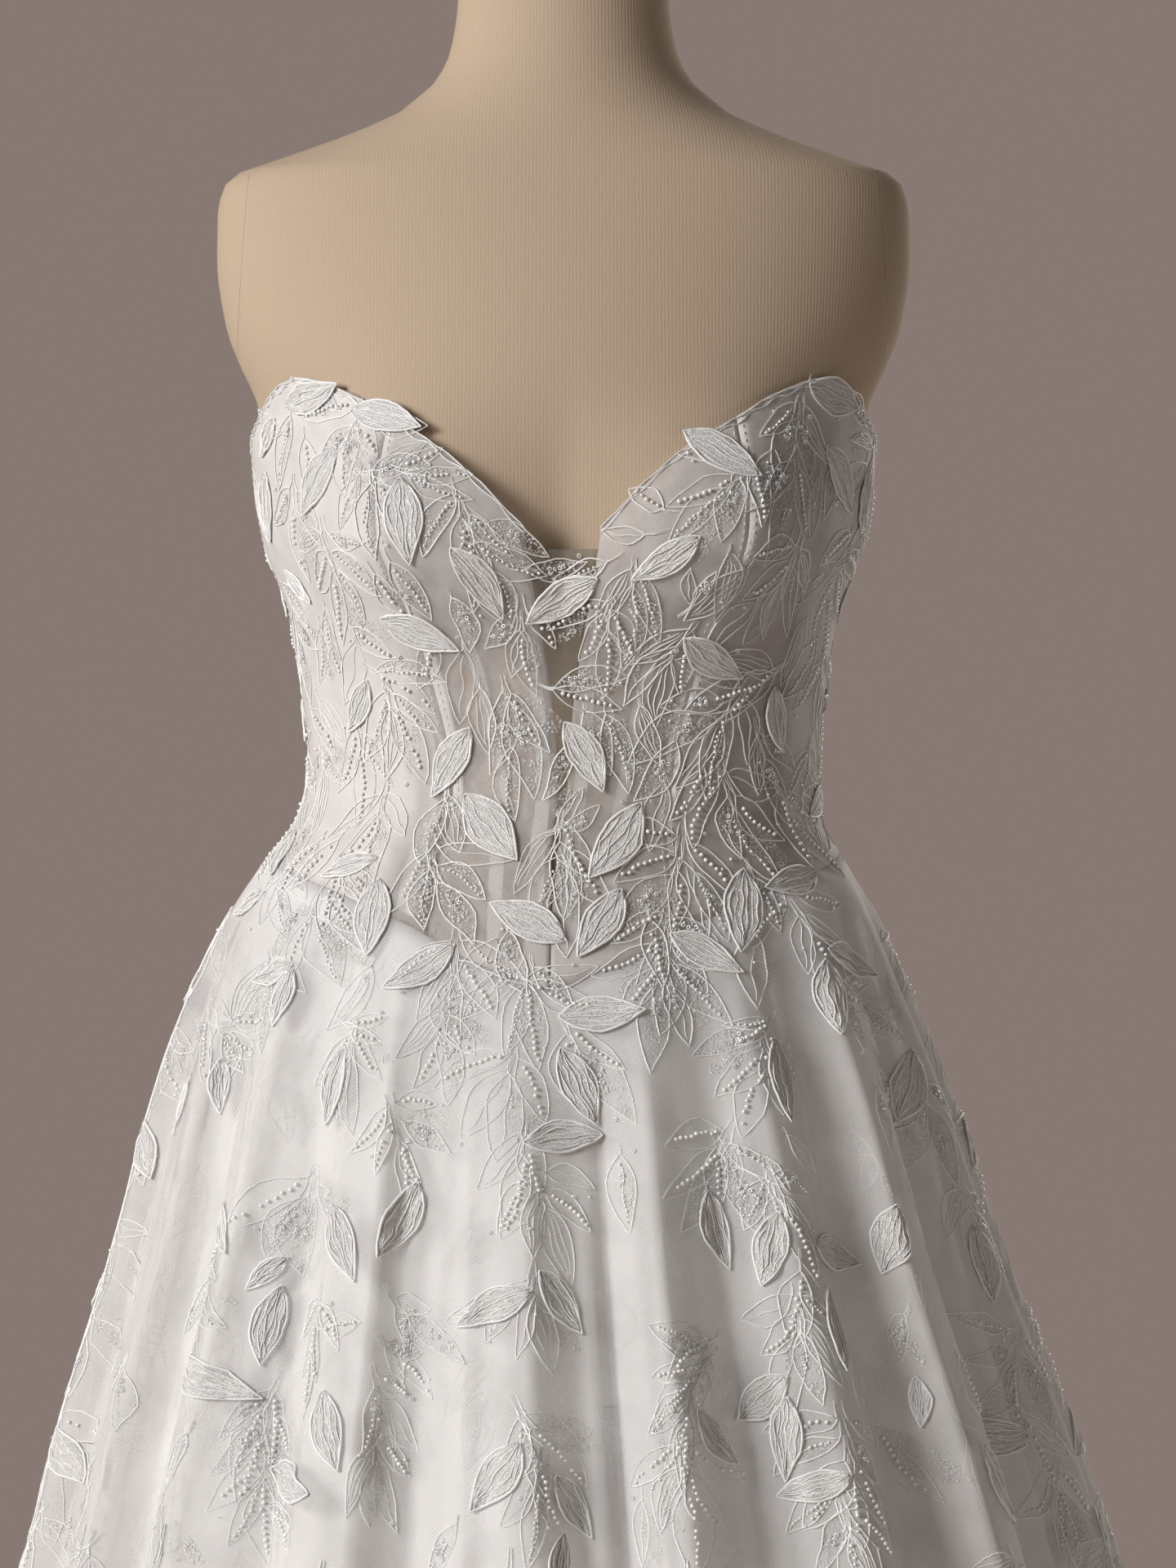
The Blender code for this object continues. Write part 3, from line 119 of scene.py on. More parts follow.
# Soft creases between the big folds: top and bottom are metres below the waist seam
creaseTable = table("degrees top bottom width depth", [
    (-160, 0.10, 0.98, 0.016, 0.004), (-138, 0.28, 0.99, 0.012, -0.004), (-118, 0.05, 0.70, 0.014, 0.005),
    (-96, 0.20, 0.97, 0.015, -0.005), (-77, 0.06, 0.60, 0.010, 0.004), (-58, 0.12, 0.98, 0.013, -0.005),
    (-51, 0.30, 0.99, 0.009, 0.004), (-36, 0.08, 0.75, 0.012, -0.005), (-31, 0.02, 0.50, 0.008, 0.003),
    (-18, 0.16, 0.99, 0.012, -0.005), (-12, 0.05, 0.66, 0.008, 0.004), (1, 0.22, 0.97, 0.010, -0.004),
    (7, 0.03, 0.55, 0.010, -0.005), (11, 0.10, 0.99, 0.007, 0.005), (22, 0.14, 0.98, 0.011, -0.006),
    (27, 0.04, 0.62, 0.007, 0.003), (40, 0.07, 0.99, 0.013, -0.006), (46, 0.24, 0.92, 0.008, 0.004),
    (60, 0.10, 0.80, 0.012, -0.005), (66, 0.18, 0.99, 0.009, 0.004), (84, 0.05, 0.96, 0.014, -0.005),
    (103, 0.18, 0.99, 0.012, 0.005), (123, 0.08, 0.85, 0.013, -0.004), (144, 0.20, 0.98, 0.012, 0.004),
    (162, 0.06, 0.90, 0.015, -0.005), (178, 0.25, 0.97, 0.011, 0.004),
    (-88, 0.03, 0.60, 0.010, 0.0030), (-80, 0.10, 0.85, 0.012, -0.0036), (-72, 0.02, 0.45, 0.009, 0.0028),
    (-69, 0.20, 0.95, 0.011, -0.0032), (-62, 0.04, 0.55, 0.010, 0.0036), (-54, 0.02, 0.40, 0.009, -0.0030),
    (-49, 0.12, 0.80, 0.010, -0.0036), (-44, 0.03, 0.52, 0.009, 0.0032), (-40, 0.15, 0.92, 0.012, 0.0036),
    (-33, 0.05, 0.48, 0.009, -0.0030), (-28, 0.22, 0.90, 0.011, 0.0034), (-24, 0.02, 0.38, 0.008, 0.0028),
    (-21, 0.08, 0.70, 0.010, -0.0032), (-15, 0.04, 0.50, 0.009, 0.0030), (-9, 0.12, 0.88, 0.010, -0.0036),
    (-4, 0.05, 0.42, 0.009, 0.0026), (4, 0.10, 0.75, 0.010, 0.0032), (9, 0.20, 0.95, 0.010, -0.0032),
    (14, 0.02, 0.46, 0.009, 0.0030), (18, 0.06, 0.66, 0.010, -0.0036), (24, 0.14, 0.90, 0.011, 0.0036),
    (30, 0.03, 0.50, 0.010, 0.0032), (36, 0.02, 0.58, 0.010, -0.0034), (43, 0.18, 0.95, 0.012, -0.0036),
    (50, 0.04, 0.52, 0.010, 0.0034), (57, 0.10, 0.84, 0.011, 0.0036), (63, 0.02, 0.44, 0.009, -0.0030),
    (70, 0.08, 0.76, 0.012, -0.0036), (76, 0.15, 0.94, 0.012, 0.0034), (81, 0.03, 0.50, 0.010, 0.0030),
    (90, 0.12, 0.90, 0.011, 0.0034), (98, 0.02, 0.55, 0.010, -0.0030), (109, 0.08, 0.92, 0.012, -0.0036),
    (118, 0.03, 0.60, 0.010, 0.0032), (129, 0.14, 0.95, 0.012, 0.0034), (139, 0.02, 0.50, 0.010, -0.0032),
    (150, 0.10, 0.86, 0.011, 0.0036), (158, 0.03, 0.54, 0.010, -0.0030), (169, 0.16, 0.94, 0.012, 0.0034),
    (-98, 0.08, 0.90, 0.011, 0.0034), (-111, 0.03, 0.56, 0.010, -0.0032), (-124, 0.12, 0.94, 0.012, 0.0036),
    (-133, 0.02, 0.50, 0.010, 0.0030), (-144, 0.09, 0.88, 0.011, -0.0034), (-154, 0.03, 0.58, 0.010, 0.0032),
    (-166, 0.14, 0.95, 0.012, -0.0036), (-175, 0.04, 0.62, 0.010, 0.0030),
])
# Vines of leaves round the sides and back of the bodice; the right side mirrors the left
bodiceVines = table("startDegrees startZ endDegrees endZ bowDegrees", [
    (50, 1.258, 13, 1.185, -4), (66, 1.250, 10, 1.100, -8), (80, 1.225, 30, 0.990, -10),
    (30, 1.235, 22, 1.120, 6), (40, 1.130, 9, 0.975, -6), (64, 1.110, 52, 1.010, -6),
    (104, 1.215, 84, 1.025, 8), (124, 1.205, 108, 1.030, 6), (150, 1.190, 130, 1.030, 8),
    (171, 1.185, 160, 1.030, 8),
])
# Raised leaves of the front, from foot to tip: turn is from straight down towards the wearer's left
raisedTable = table("degrees z turn length width", [
    (-60.0, 1.2466, 104, 0.041, 0.0169), (-40.1, 1.2420, 74, 0.043, 0.0177),
    (-42.8, 1.2216, -40, 0.050, 0.0205), (-27.9, 1.2039, 2, 0.050, 0.0205),
    (-19.1, 1.1668, 31, 0.044, 0.0179), (-38.1, 1.1308, 63, 0.047, 0.0195),
    (-71.2, 1.1585, 43, 0.027, 0.0115), (-70.5, 1.2118, -11, 0.039, 0.0159),
    (-65.0, 1.2405, -38, 0.026, 0.0115), (20.9, 1.2291, 58, 0.050, 0.0205),
    (54.6, 1.2245, 43, 0.050, 0.0205), (23.4, 1.1724, -55, 0.039, 0.0160),
    (6.3, 1.1508, -58, 0.048, 0.0198), (24.7, 1.1198, 59, 0.047, 0.0191), (48.6, 1.2571, 77, 0.050, 0.0205),
    (-46.2, 1.0978, -33, 0.034, 0.0141), (-20.5, 1.0721, -29, 0.043, 0.0176),
    (-21.3, 1.0368, 43, 0.050, 0.0205), (0.4, 1.0751, 29, 0.043, 0.0178),
    (-37.0, 1.0022, -68, 0.032, 0.0132), (-34.3, 0.9914, 9, 0.046, 0.0190),
    (-16.0, 0.9569, -55, 0.044, 0.0179), (2.6, 0.9591, -116, 0.048, 0.0197),
    (12.6, 0.9861, -32, 0.045, 0.0183), (17.5, 1.0320, -33, 0.049, 0.0203),
    (51.9, 1.0944, 16, 0.037, 0.0150), (38.8, 0.9965, -18, 0.050, 0.0205),
    (60.0, 0.9943, -77, 0.040, 0.0163), (20.4, 0.9624, 58, 0.042, 0.0174),
    (53.4, 0.9534, 66, 0.043, 0.0175), (51.8, 0.9483, -8, 0.045, 0.0185), (1.2, 0.9197, 94, 0.047, 0.0192),
    (1.3, 0.9036, 21, 0.046, 0.0190), (-4.5, 0.8555, 94, 0.044, 0.0180),
    (-32.8, 0.9030, -10, 0.044, 0.0180), (-60.1, 0.8946, 12, 0.032, 0.0129),
    (-68.4, 0.8859, -4, 0.036, 0.0149), (-45.9, 0.9455, -72, 0.036, 0.0148),
    (-45.5, 0.9430, -1, 0.034, 0.0138), (-49.0, 0.8211, 33, 0.032, 0.0131),
    (-31.0, 0.8224, 29, 0.047, 0.0191), (-19.0, 0.8341, -23, 0.043, 0.0175),
    (-38.4, 0.7932, -48, 0.026, 0.0115), (-38.6, 0.7790, -5, 0.043, 0.0177),
    (-50.0, 0.7411, 61, 0.043, 0.0176), (-29.0, 0.7297, 19, 0.045, 0.0184),
    (-37.2, 0.6858, 81, 0.050, 0.0205), (-4.0, 0.7815, -60, 0.042, 0.0174),
    (-3.0, 0.7911, 41, 0.047, 0.0191), (-5.5, 0.7076, -34, 0.047, 0.0194),
    (-1.8, 0.6901, 36, 0.043, 0.0177), (-1.1, 0.6622, -11, 0.035, 0.0143),
    (29.3, 0.8186, -23, 0.044, 0.0182), (33.7, 0.8003, 75, 0.048, 0.0198),
    (34.2, 0.7799, -6, 0.046, 0.0190), (26.9, 0.7360, -59, 0.046, 0.0190),
    (26.6, 0.7257, -13, 0.047, 0.0191), (16.6, 0.7218, 41, 0.042, 0.0172),
    (30.4, 0.6877, -69, 0.036, 0.0149), (47.5, 0.7317, -13, 0.029, 0.0118),
    (67.8, 0.6932, -89, 0.050, 0.0205), (71.1, 0.8037, -6, 0.044, 0.0181),
    (69.8, 0.8982, -30, 0.049, 0.0200), (34.9, 0.9072, -5, 0.047, 0.0191),
    (50.4, 0.8197, -16, 0.040, 0.0163), (21.2, 0.8297, 12, 0.044, 0.0180), (87.4, 1.1544, 6, 0.026, 0.0115),
    (54.1, 0.6958, 20, 0.050, 0.0205), (76.3, 0.6520, -5, 0.026, 0.0115), (-76.2, 1.0166, 27, 0.034, 0.0150),
    (-67.2, 0.9820, -62, 0.030, 0.0130),
])
# Fans of corded leaves on the front: node, turn of the first and last leaf, how many, and length in mm
sprayTable = table("degrees z first last leaves length", [
    (-39.1, 1.2320, -80, 27, 4, 44), (-33.6, 1.2051, 100, 120, 2, 40), (-33.5, 1.2020, 6, 22, 2, 48),
    (-25.6, 1.2047, 78, 107, 3, 38), (-16.1, 1.1793, -33, 70, 5, 42), (-47.3, 1.1563, -80, 82, 6, 42),
    (-8.0, 1.1248, -41, 37, 4, 36), (29.7, 1.2005, -73, -5, 5, 48), (46.4, 1.2364, -86, 66, 6, 38),
    (44.1, 1.2084, -45, 16, 3, 46), (45.8, 1.1510, -81, 50, 6, 44), (68.9, 1.1508, -45, 74, 5, 44),
    (26.6, 1.1368, 166, 189, 2, 26), (12.5, 1.1499, -17, 19, 3, 46), (25.0, 1.1185, -54, -11, 3, 44),
    (21.8, 1.2184, -101, -57, 3, 36), (14.4, 1.1994, -96, -53, 3, 34), (-1.7, 1.0907, 78, 102, 2, 43),
    (-43.6, 1.1012, 60, 77, 2, 46), (-40.1, 1.0810, -20, 35, 4, 48),
    (-11.8, 1.0873, -2, 24, 3, 50), (0.7, 1.0155, -9, 19, 3, 42), (1.4, 1.0164, 128, 156, 2, 26),
    (-42.3, 1.0262, -43, 41, 4, 46), (-22.8, 0.9933, -4, 73, 5, 44), (2.9, 1.0021, -10, 12, 3, 44),
    (-68.5, 1.0553, -18, 44, 3, 38), (-51.2, 1.0654, -10, 24, 3, 40), (-25.5, 1.0333, -2, 24, 2, 40),
    (49.0, 1.0979, -89, -59, 3, 44), (36.0, 1.0748, -99, -1, 6, 48), (49.1, 1.0618, 12, 42, 3, 38),
    (39.8, 1.0319, -25, 73, 5, 44), (23.7, 0.9942, -75, 20, 6, 46), (20.0, 0.9576, -33, 19, 5, 42),
    (49.8, 0.9662, -42, 85, 5, 44), (40.5, 0.9908, -12, 14, 2, 40), (37.0, 0.9658, -16, -6, 1, 40),
    (57.1, 1.0310, 24, 54, 3, 44), (8.9, 1.1287, -16, 18, 3, 40), (-12.8, 1.1541, -27, 12, 2, 36),
    (-57.6, 1.1961, -57, 36, 3, 38), (-77.8, 1.1224, -58, 50, 4, 40), (76.0, 1.1000, -42, 61, 4, 42),
    (72.4, 1.0554, -42, 27, 3, 40), (-3.8, 0.9370, -11, 5, 4, 48), (-3.3, 0.9370, 77, 95, 2, 42),
    (-15.6, 0.9441, -30, 42, 5, 44), (-6.6, 0.8912, -38, -5, 4, 50), (-4.6, 0.8551, -27, 4, 3, 48),
    (-2.0, 0.8257, -7, 50, 5, 42), (18.5, 0.9376, -25, 22, 6, 46), (3.3, 0.9070, 15, 48, 3, 44),
    (23.7, 0.8494, -64, -17, 4, 46), (34.7, 0.9148, -86, -64, 2, 28), (31.7, 0.8968, -44, 4, 5, 42),
    (24.1, 0.8486, 8, 32, 3, 44), (29.7, 0.8232, -14, 46, 5, 40), (56.3, 0.9254, 6, 81, 4, 42),
    (68.9, 0.8719, -27, 6, 4, 46), (63.4, 0.8791, -92, -82, 2, 30), (56.9, 0.8296, 20, 55, 3, 40),
    (71.3, 0.8120, -40, 44, 4, 42), (-32.6, 0.9124, 76, 99, 2, 26), (-31.2, 0.8998, -26, 29, 4, 44),
    (-22.2, 0.8550, -34, 84, 6, 38), (-36.6, 0.8244, -37, 19, 4, 42), (-60.7, 0.9050, 24, 83, 4, 36),
    (-70.5, 0.9181, 11, 67, 3, 38), (-51.9, 0.7997, -10, 44, 4, 40), (-16.8, 0.9122, -26, 15, 4, 40),
    (-50.6, 0.7639, -21, 70, 6, 46), (-64.3, 0.7308, -49, 8, 2, 42), (-31.8, 0.7592, -52, 49, 5, 44),
    (-31.2, 0.7596, 90, 99, 1, 40), (-38.0, 0.7208, -38, 4, 3, 40), (-37.9, 0.7035, -35, 40, 4, 40),
    (-37.5, 0.6797, -23, 17, 4, 46), (-36.6, 0.6651, 58, 77, 2, 44), (-3.6, 0.7799, -17, 11, 4, 46),
    (-4.2, 0.7824, -74, -59, 1, 40), (-4.6, 0.7111, -1, 58, 4, 42), (-3.7, 0.6892, -21, 3, 3, 44),
    (-20.5, 0.7694, 42, 61, 3, 36), (-21.4, 0.7475, 46, 69, 3, 38), (-22.1, 0.7249, 19, 46, 4, 44),
    (-22.1, 0.6948, -6, 33, 4, 44), (19.3, 0.7539, -84, -71, 2, 48), (18.0, 0.7408, -81, -52, 4, 50),
    (15.7, 0.7213, -51, 3, 4, 46), (14.2, 0.6905, -17, 19, 5, 46), (28.9, 0.7568, -62, 43, 6, 44),
    (30.4, 0.7933, -18, -4, 1, 40), (30.5, 0.6906, -43, 33, 7, 42), (29.4, 0.6597, -37, 52, 6, 44),
    (48.1, 0.7609, -47, -32, 2, 28), (70.0, 0.7286, -97, 14, 6, 42), (68.4, 0.7041, 15, 36, 2, 44),
    (70.3, 0.6632, -36, -5, 4, 46), (-21.5, 1.2110, 101, 101, 1, 36), (-35.5, 1.2330, 92, 92, 1, 38),
    (-29.0, 1.2250, 107, 107, 1, 32), (-21.0, 1.1960, 108, 108, 1, 36), (-14.0, 1.1830, 64, 64, 1, 34),
    (-16.5, 1.1700, 65, 65, 1, 36), (24.4, 1.2120, -108, -108, 1, 32), (17.7, 1.1850, -122, -122, 1, 34),
    (15.3, 1.1730, -100, -100, 1, 33), (33.8, 1.2310, -106, -106, 1, 32), (39.5, 1.2370, -112, -112, 1, 30),
    (-42.2, 1.2400, -116, -116, 1, 34),
    (-60.3, 1.2300, -120, -120, 1, 34), (73.5, 1.2360, -124, -124, 1, 30), (-8.0, 1.1542, 100, 100, 1, 34),
    (8.6, 1.1600, -72, -72, 1, 32), (9.1, 1.1393, -68, -68, 1, 32),
    (-46.5, 0.9711, -17, 54, 4, 44), (-64.2, 0.9900, 17, 58, 3, 38), (-44.2, 0.9916, 12, 53, 3, 42),
    (-54.6, 0.9410, -17, 57, 3, 42),
])


# Curves through tables, and the surfaces they make

def curveThrough(xs, ys):
    order = np.argsort(xs)
    xs, ys = xs[order], ys[order]
    step = np.diff(xs)
    slope = np.diff(ys) / step
    tangent = np.zeros(len(xs))
    same = slope[:-1] * slope[1:] > 0
    tangent[1:-1][same] = (2 * slope[:-1] * slope[1:])[same] / (slope[:-1] + slope[1:])[same]
    tangent[0], tangent[-1] = slope[0], slope[-1]

    def value(x):
        x = np.clip(x, xs[0], xs[-1])
        i = np.clip(np.searchsorted(xs, x) - 1, 0, len(step) - 1)
        t = (x - xs[i]) / step[i]
        rise = t * t * (3 - 2 * t)
        bulge = step[i] * t * (1 - t) * (tangent[i] * (1 - t) - tangent[i + 1] * t)
        return ys[i] * (1 - rise) + ys[i + 1] * rise + bulge

    return value


def sectionCurves(rows):
    return [curveThrough(rows["z"], rows[name]) for name in ("halfWidth", "front", "back")]


garmentCurves = sectionCurves(garmentSections)
formCurves = sectionCurves(formSections)
swayAt = curveThrough(swayRows["z"], swayRows["sway"])
necklineZ = curveThrough(np.radians(neckline["degrees"]), neckline["z"])
seamZ = curveThrough(np.radians(waistSeam["degrees"]), waistSeam["z"])
plungeGap = curveThrough(plunge["z"], plunge["halfGap"])
princessSeam, sideSeamAt, backSeam, centreBackSeam = (
    curveThrough(rows["z"], np.radians(rows["degrees"]))
    for rows in (frontPrincess, sideSeam, backPrincess, centreBack))


def smooth(x, low, high):
    t = np.clip((x - low) / (high - low), 0, 1)
    return t * t * (3 - 2 * t)


def wrapped(u):
    return (u + math.pi) % (2 * math.pi) - math.pi


def cupHeight(u, z, rise, spreadIn):
    off = np.abs(u) - cupValues["angle"]
    across = off / np.where(off < 0, spreadIn, cupValues["spreadOut"])
    up = z - cupValues["z"]
    up = up / np.where(up > 0, cupValues["spreadUp"], cupValues["spreadDown"])
    return rise * np.exp(-across * across - up * up)


def oval(u, z, curves, shift=0):
    # a point of the section at this height, with the directions outwards and round it
    halfWidth, front, back = (curve(z) for curve in curves)
    depth = np.where(np.cos(u) > 0, front, back)
    point = np.stack([halfWidth * np.sin(u) + shift, -depth * np.cos(u), z + 0 * u], -1)
    outward = np.stack([depth * np.sin(u), -halfWidth * np.cos(u), 0 * u], -1)
    outward /= np.linalg.norm(outward, axis=-1, keepdims=True)
    return point, outward, np.stack([-outward[..., 1], outward[..., 0], 0 * u], -1)


def withCups(point, u, z, rise, spreadIn):
    forward = np.stack([0.25 * np.tanh(3 * u), -1 + 0 * u, 0 * u], -1)
    return point + forward * cupHeight(u, z, rise, spreadIn)[..., None]


def foldWave(u):
    # 1 on a crest and 0 between two, with the fold's depth and lean there
    crests = np.radians(foldTable["crest"])
    crests = np.append(crests, crests[0] + 2 * math.pi)
    around = (u - crests[0]) % (2 * math.pi) + crests[0]
    i = np.clip(np.searchsorted(crests, around, side="right") - 1, 0, len(crests) - 2)
    share = (around - crests[i]) / (crests[i + 1] - crests[i])
    depths, leans = (np.append(foldTable[name], foldTable[name][0]) for name in ("depth", "lean"))
    blend = share * share * (3 - 2 * share)
    depth = depths[i] * (1 - blend) + depths[i + 1] * blend
    return 0.5 + 0.5 * np.cos(2 * math.pi * share), depth, np.where(share < 0.5, leans[i], leans[i + 1])


def creaseHeight(u, drop, halfWidth):
    height = np.zeros(np.shape(u))
    for degrees, top, bottom, width, depth in zip(*creaseTable.values()):
        off = wrapped(u - math.radians(degrees))
        along = np.sin(math.pi * np.clip((drop - top) / (bottom - top), 0, 1)) ** 0.6
        spread = width * (0.5 + 0.9 * np.clip(drop, 0, 1))
        height += foldValues["creaseShare"] * depth * along * np.exp(-(off * halfWidth / spread) ** 2)
    return height


def foldedSection(u, z):
    # the folds deepen with the drop below the waist seam
    point, outward, sideways = oval(u, z, garmentCurves, swayAt(z))
    drop = np.maximum(seamZ(np.abs(u)) - z, 0)
    wave, depth, lean = foldWave(u)
    depth = depth * (1 - np.exp(-drop / foldValues["growth"]))
    return point, outward, sideways, drop, wave, depth, lean


def garmentPoint(u, z):
    u, z = np.broadcast_arrays(np.asarray(u, float), np.asarray(z, float))
    point, outward, sideways, drop, wave, depth, lean = foldedSection(u, z)
    point = withCups(point, u, z, cupValues["rise"], cupValues["spreadIn"])
    out = depth * (wave - 1 + foldValues["crestShare"])
    out = out + creaseHeight(u, drop, garmentCurves[0](z))
    return point + outward * out[..., None] + sideways * (depth * lean * wave)[..., None]


def underskirtPoint(u, z):
    u, z = np.broadcast_arrays(np.asarray(u, float), np.asarray(z, float))
    point, outward, sideways, drop, wave, depth, lean = foldedSection(u, z)
    growth = 1 - np.exp(-drop / foldValues["liningGapGrowth"])
    gap = foldValues["liningGapTop"] + foldValues["liningGapMore"] * growth
    out = depth * (foldValues["liningShare"] * wave - 1 + foldValues["crestShare"]) - gap
    aside = foldValues["liningShare"] * depth * lean * wave
    return point + outward * out[..., None] + sideways * aside[..., None]


def formPoint(u, z):
    u, z = np.broadcast_arrays(np.asarray(u, float), np.asarray(z, float))
    point = oval(u, z, formCurves)[0]
    return withCups(point, u, z, cupValues["formRise"], cupValues["formSpreadIn"])


def normalsOf(surface, u, z):
    step = 2e-4
    across, up = surface(u + step, z) - surface(u - step, z), surface(u, z + step) - surface(u, z - step)
    normal = np.cross(across, up)
    return normal / np.linalg.norm(normal, axis=-1, keepdims=True)


# Meshes and objects

def setAttribute(mesh, name, numbers):
    numbers = np.asarray(numbers, np.float32)
    kind, field = ("FLOAT_VECTOR", "vector") if numbers.ndim > 1 else ("FLOAT", "value")
    mesh.attributes.new(name, kind, "POINT").data.foreach_set(field, numbers.ravel())


def meshOf(name, points, faceGroups, uvs=None):
    # each face group is an array with one row of corner numbers for each face
    mesh = bpy.data.meshes.new(name)
    corners = np.concatenate([np.ravel(group) for group in faceGroups]).astype(np.int32)
    sizes = np.concatenate([np.full(len(group), np.shape(group)[1]) for group in faceGroups])
    mesh.vertices.add(len(points))
    mesh.vertices.foreach_set("co", np.asarray(points, np.float32).ravel())
    mesh.loops.add(len(corners))
    mesh.loops.foreach_set("vertex_index", corners)
    mesh.polygons.add(len(sizes))
    mesh.polygons.foreach_set("loop_start", (np.cumsum(sizes) - sizes).astype(np.int32))
    mesh.update(calc_edges=True)
    if uvs is not None:
        layer = mesh.uv_layers.new(name="UVMap")
        layer.data.foreach_set("uv", np.asarray(uvs, np.float32)[corners].ravel())
    mesh.shade_smooth()
    return mesh


def pointMesh(name, points, edges=(), **values):
    # bare points, joined by edges where paths are wanted, with an attribute for each named value
    mesh = bpy.data.meshes.new(name)
    mesh.vertices.add(len(points))
    mesh.vertices.foreach_set("co", np.asarray(points, np.float32).ravel())
    if len(edges):
        mesh.edges.add(len(edges))
        mesh.edges.foreach_set("vertices", np.asarray(edges, np.int32).ravel())
    for key, numbers in values.items():
        setAttribute(mesh, key, numbers)
    mesh.update()
    return mesh


def gridFaces(rows, columns, closed=False):
    r, c = np.meshgrid(np.arange(rows - 1), np.arange(columns if closed else columns - 1), indexing="ij")
    a = r * columns + c
    b = r * columns + (c + 1) % columns
    return np.stack([a, b, b + columns, a + columns], -1).reshape(-1, 4)


def endFaces(rows, columns):
    # the bottom and top of a closed tube of points
    return np.stack([np.arange(columns)[::-1], (rows - 1) * columns + np.arange(columns)])


def runAlong(points, axis=0):
    # metres from the first point, along one axis of a grid of points
    step = np.linalg.norm(np.diff(points, axis=axis), axis=-1)
    total = np.cumsum(step, axis=axis)
    start = np.zeros_like(np.take(total, [0], axis=axis))
    return np.concatenate([start, total], axis=axis)


def inScene(name, data):
    thing = bpy.data.objects.new(name, data)
    bpy.context.scene.collection.objects.link(thing)
    return thing


def newObject(name, mesh, material):
    mesh.materials.clear()
    mesh.materials.append(material)
    return inScene(name, mesh)


def plain(thing):
    # what the modifiers make, as the object's own mesh
    bpy.context.view_layer.update()
    made = thing.evaluated_get(bpy.context.evaluated_depsgraph_get())
    mesh = bpy.data.meshes.new_from_object(made)
    mesh.name = thing.name
    thing.modifiers.clear()
    thing.data = mesh
    return thing


def asPiece(thing, node=None):
    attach(thing, "root")
    if node:
        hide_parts(node)


# Materials

def newMaterial(name, **values):
    material = bpy.data.materials.new(name)
    material.use_nodes = True
    shader = material.node_tree.nodes["Principled BSDF"]
    for key, value in values.items():
        shader.inputs[key.replace("_", " ")].default_value = value
    return material, material.node_tree, shader


def addNode(tree, kind, inputs=None, **settings):
    made = tree.nodes.new(kind)
    for key, value in settings.items():
        setattr(made, key, value)
    for key, value in (inputs or {}).items():
        if isinstance(value, bpy.types.NodeSocket):
            tree.links.new(value, made.inputs[key])
        else:
            made.inputs[key].default_value = value
    return made


def mathNode(tree, operation, a, b, clamp=False):
    return addNode(tree, "ShaderNodeMath", {0: a, 1: b}, operation=operation, use_clamp=clamp).outputs[0]


def weighted(tree, *parts):
    # the sum of each value times its share
    total = None
    for value, share in parts:
        value = mathNode(tree, "MULTIPLY", value, share)
        total = mathNode(tree, "ADD", total, value) if total is not None else value
    return total


def mixColours(tree, factor, first, second):
    return addNode(tree, "ShaderNodeMix", {0: factor, 6: first, 7: second}, data_type="RGBA").outputs[2]


def paint(tree, shader, factor, first, second):
    tree.links.new(mixColours(tree, factor, first, second), shader.inputs["Base Color"])


def ramp(tree, factor, low, high):
    return addNode(tree, "ShaderNodeMapRange", {0: factor, 1: low, 2: high, 3: 0.0, 4: 1.0}).outputs[0]


def noise(tree, place, scale, detail=2.0, stretch=None, distortion=0.0):
    if stretch:
        place = addNode(tree, "ShaderNodeMapping", {"Vector": place, "Scale": stretch}).outputs[0]
    values = {"Vector": place, "Scale": scale, "Detail": detail, "Distortion": distortion}
    return addNode(tree, "ShaderNodeTexNoise", values).outputs["Fac"]


def uvOf(tree):
    return addNode(tree, "ShaderNodeUVMap").outputs[0]


def placeOf(tree):
    return addNode(tree, "ShaderNodeTexCoord").outputs["Object"]


def bumpInto(tree, shader, height, strength, distance):
    bump = addNode(tree, "ShaderNodeBump", {"Height": height, "Strength": strength, "Distance": distance})
    tree.links.new(bump.outputs[0], shader.inputs["Normal"])


def seeThrough(tree, shader, cover):
    clear = addNode(tree, "ShaderNodeBsdfTransparent").outputs[0]
    mixed = addNode(tree, "ShaderNodeMixShader", {0: cover, 1: clear, 2: shader.outputs[0]})
    tree.links.new(mixed.outputs[0], tree.nodes["Material Output"].inputs["Surface"])


def jerseyMaterial(name, values):
    # fine upright ribs, slubs and slow unevenness of the knit
    material, tree, shader = newMaterial(name, Roughness=0.9, Sheen_Weight=0.1, Sheen_Roughness=0.5)
    shader.inputs["Sheen Tint"].default_value = values["sheen"]
    uv = uvOf(tree)
    ribs = {"Vector": uv, "Scale": 0.5 / values["ribPitch"] / math.pi, "Distortion": 0.8, "Detail": 2.0,
            "Detail Scale": 2.0}
    ribs = addNode(tree, "ShaderNodeTexWave", ribs, bands_direction="X").outputs["Fac"]
    slub = noise(tree, uv, 1.0, 3.0, (1300, 130, 1))
    tone = weighted(tree, (ribs, 0.16), (slub, 0.54), (noise(tree, uv, 1500.0, 1.0), 0.30))
    base = mixColours(tree, tone, values["shade"], values["light"])
    paint(tree, shader, weighted(tree, (noise(tree, uv, 11.0, 3.0), 0.30)), base, values["shade"])
    bumpInto(tree, shader, weighted(tree, (ribs, 0.5), (slub, 1.0)), 0.25, 0.0005)
    return material


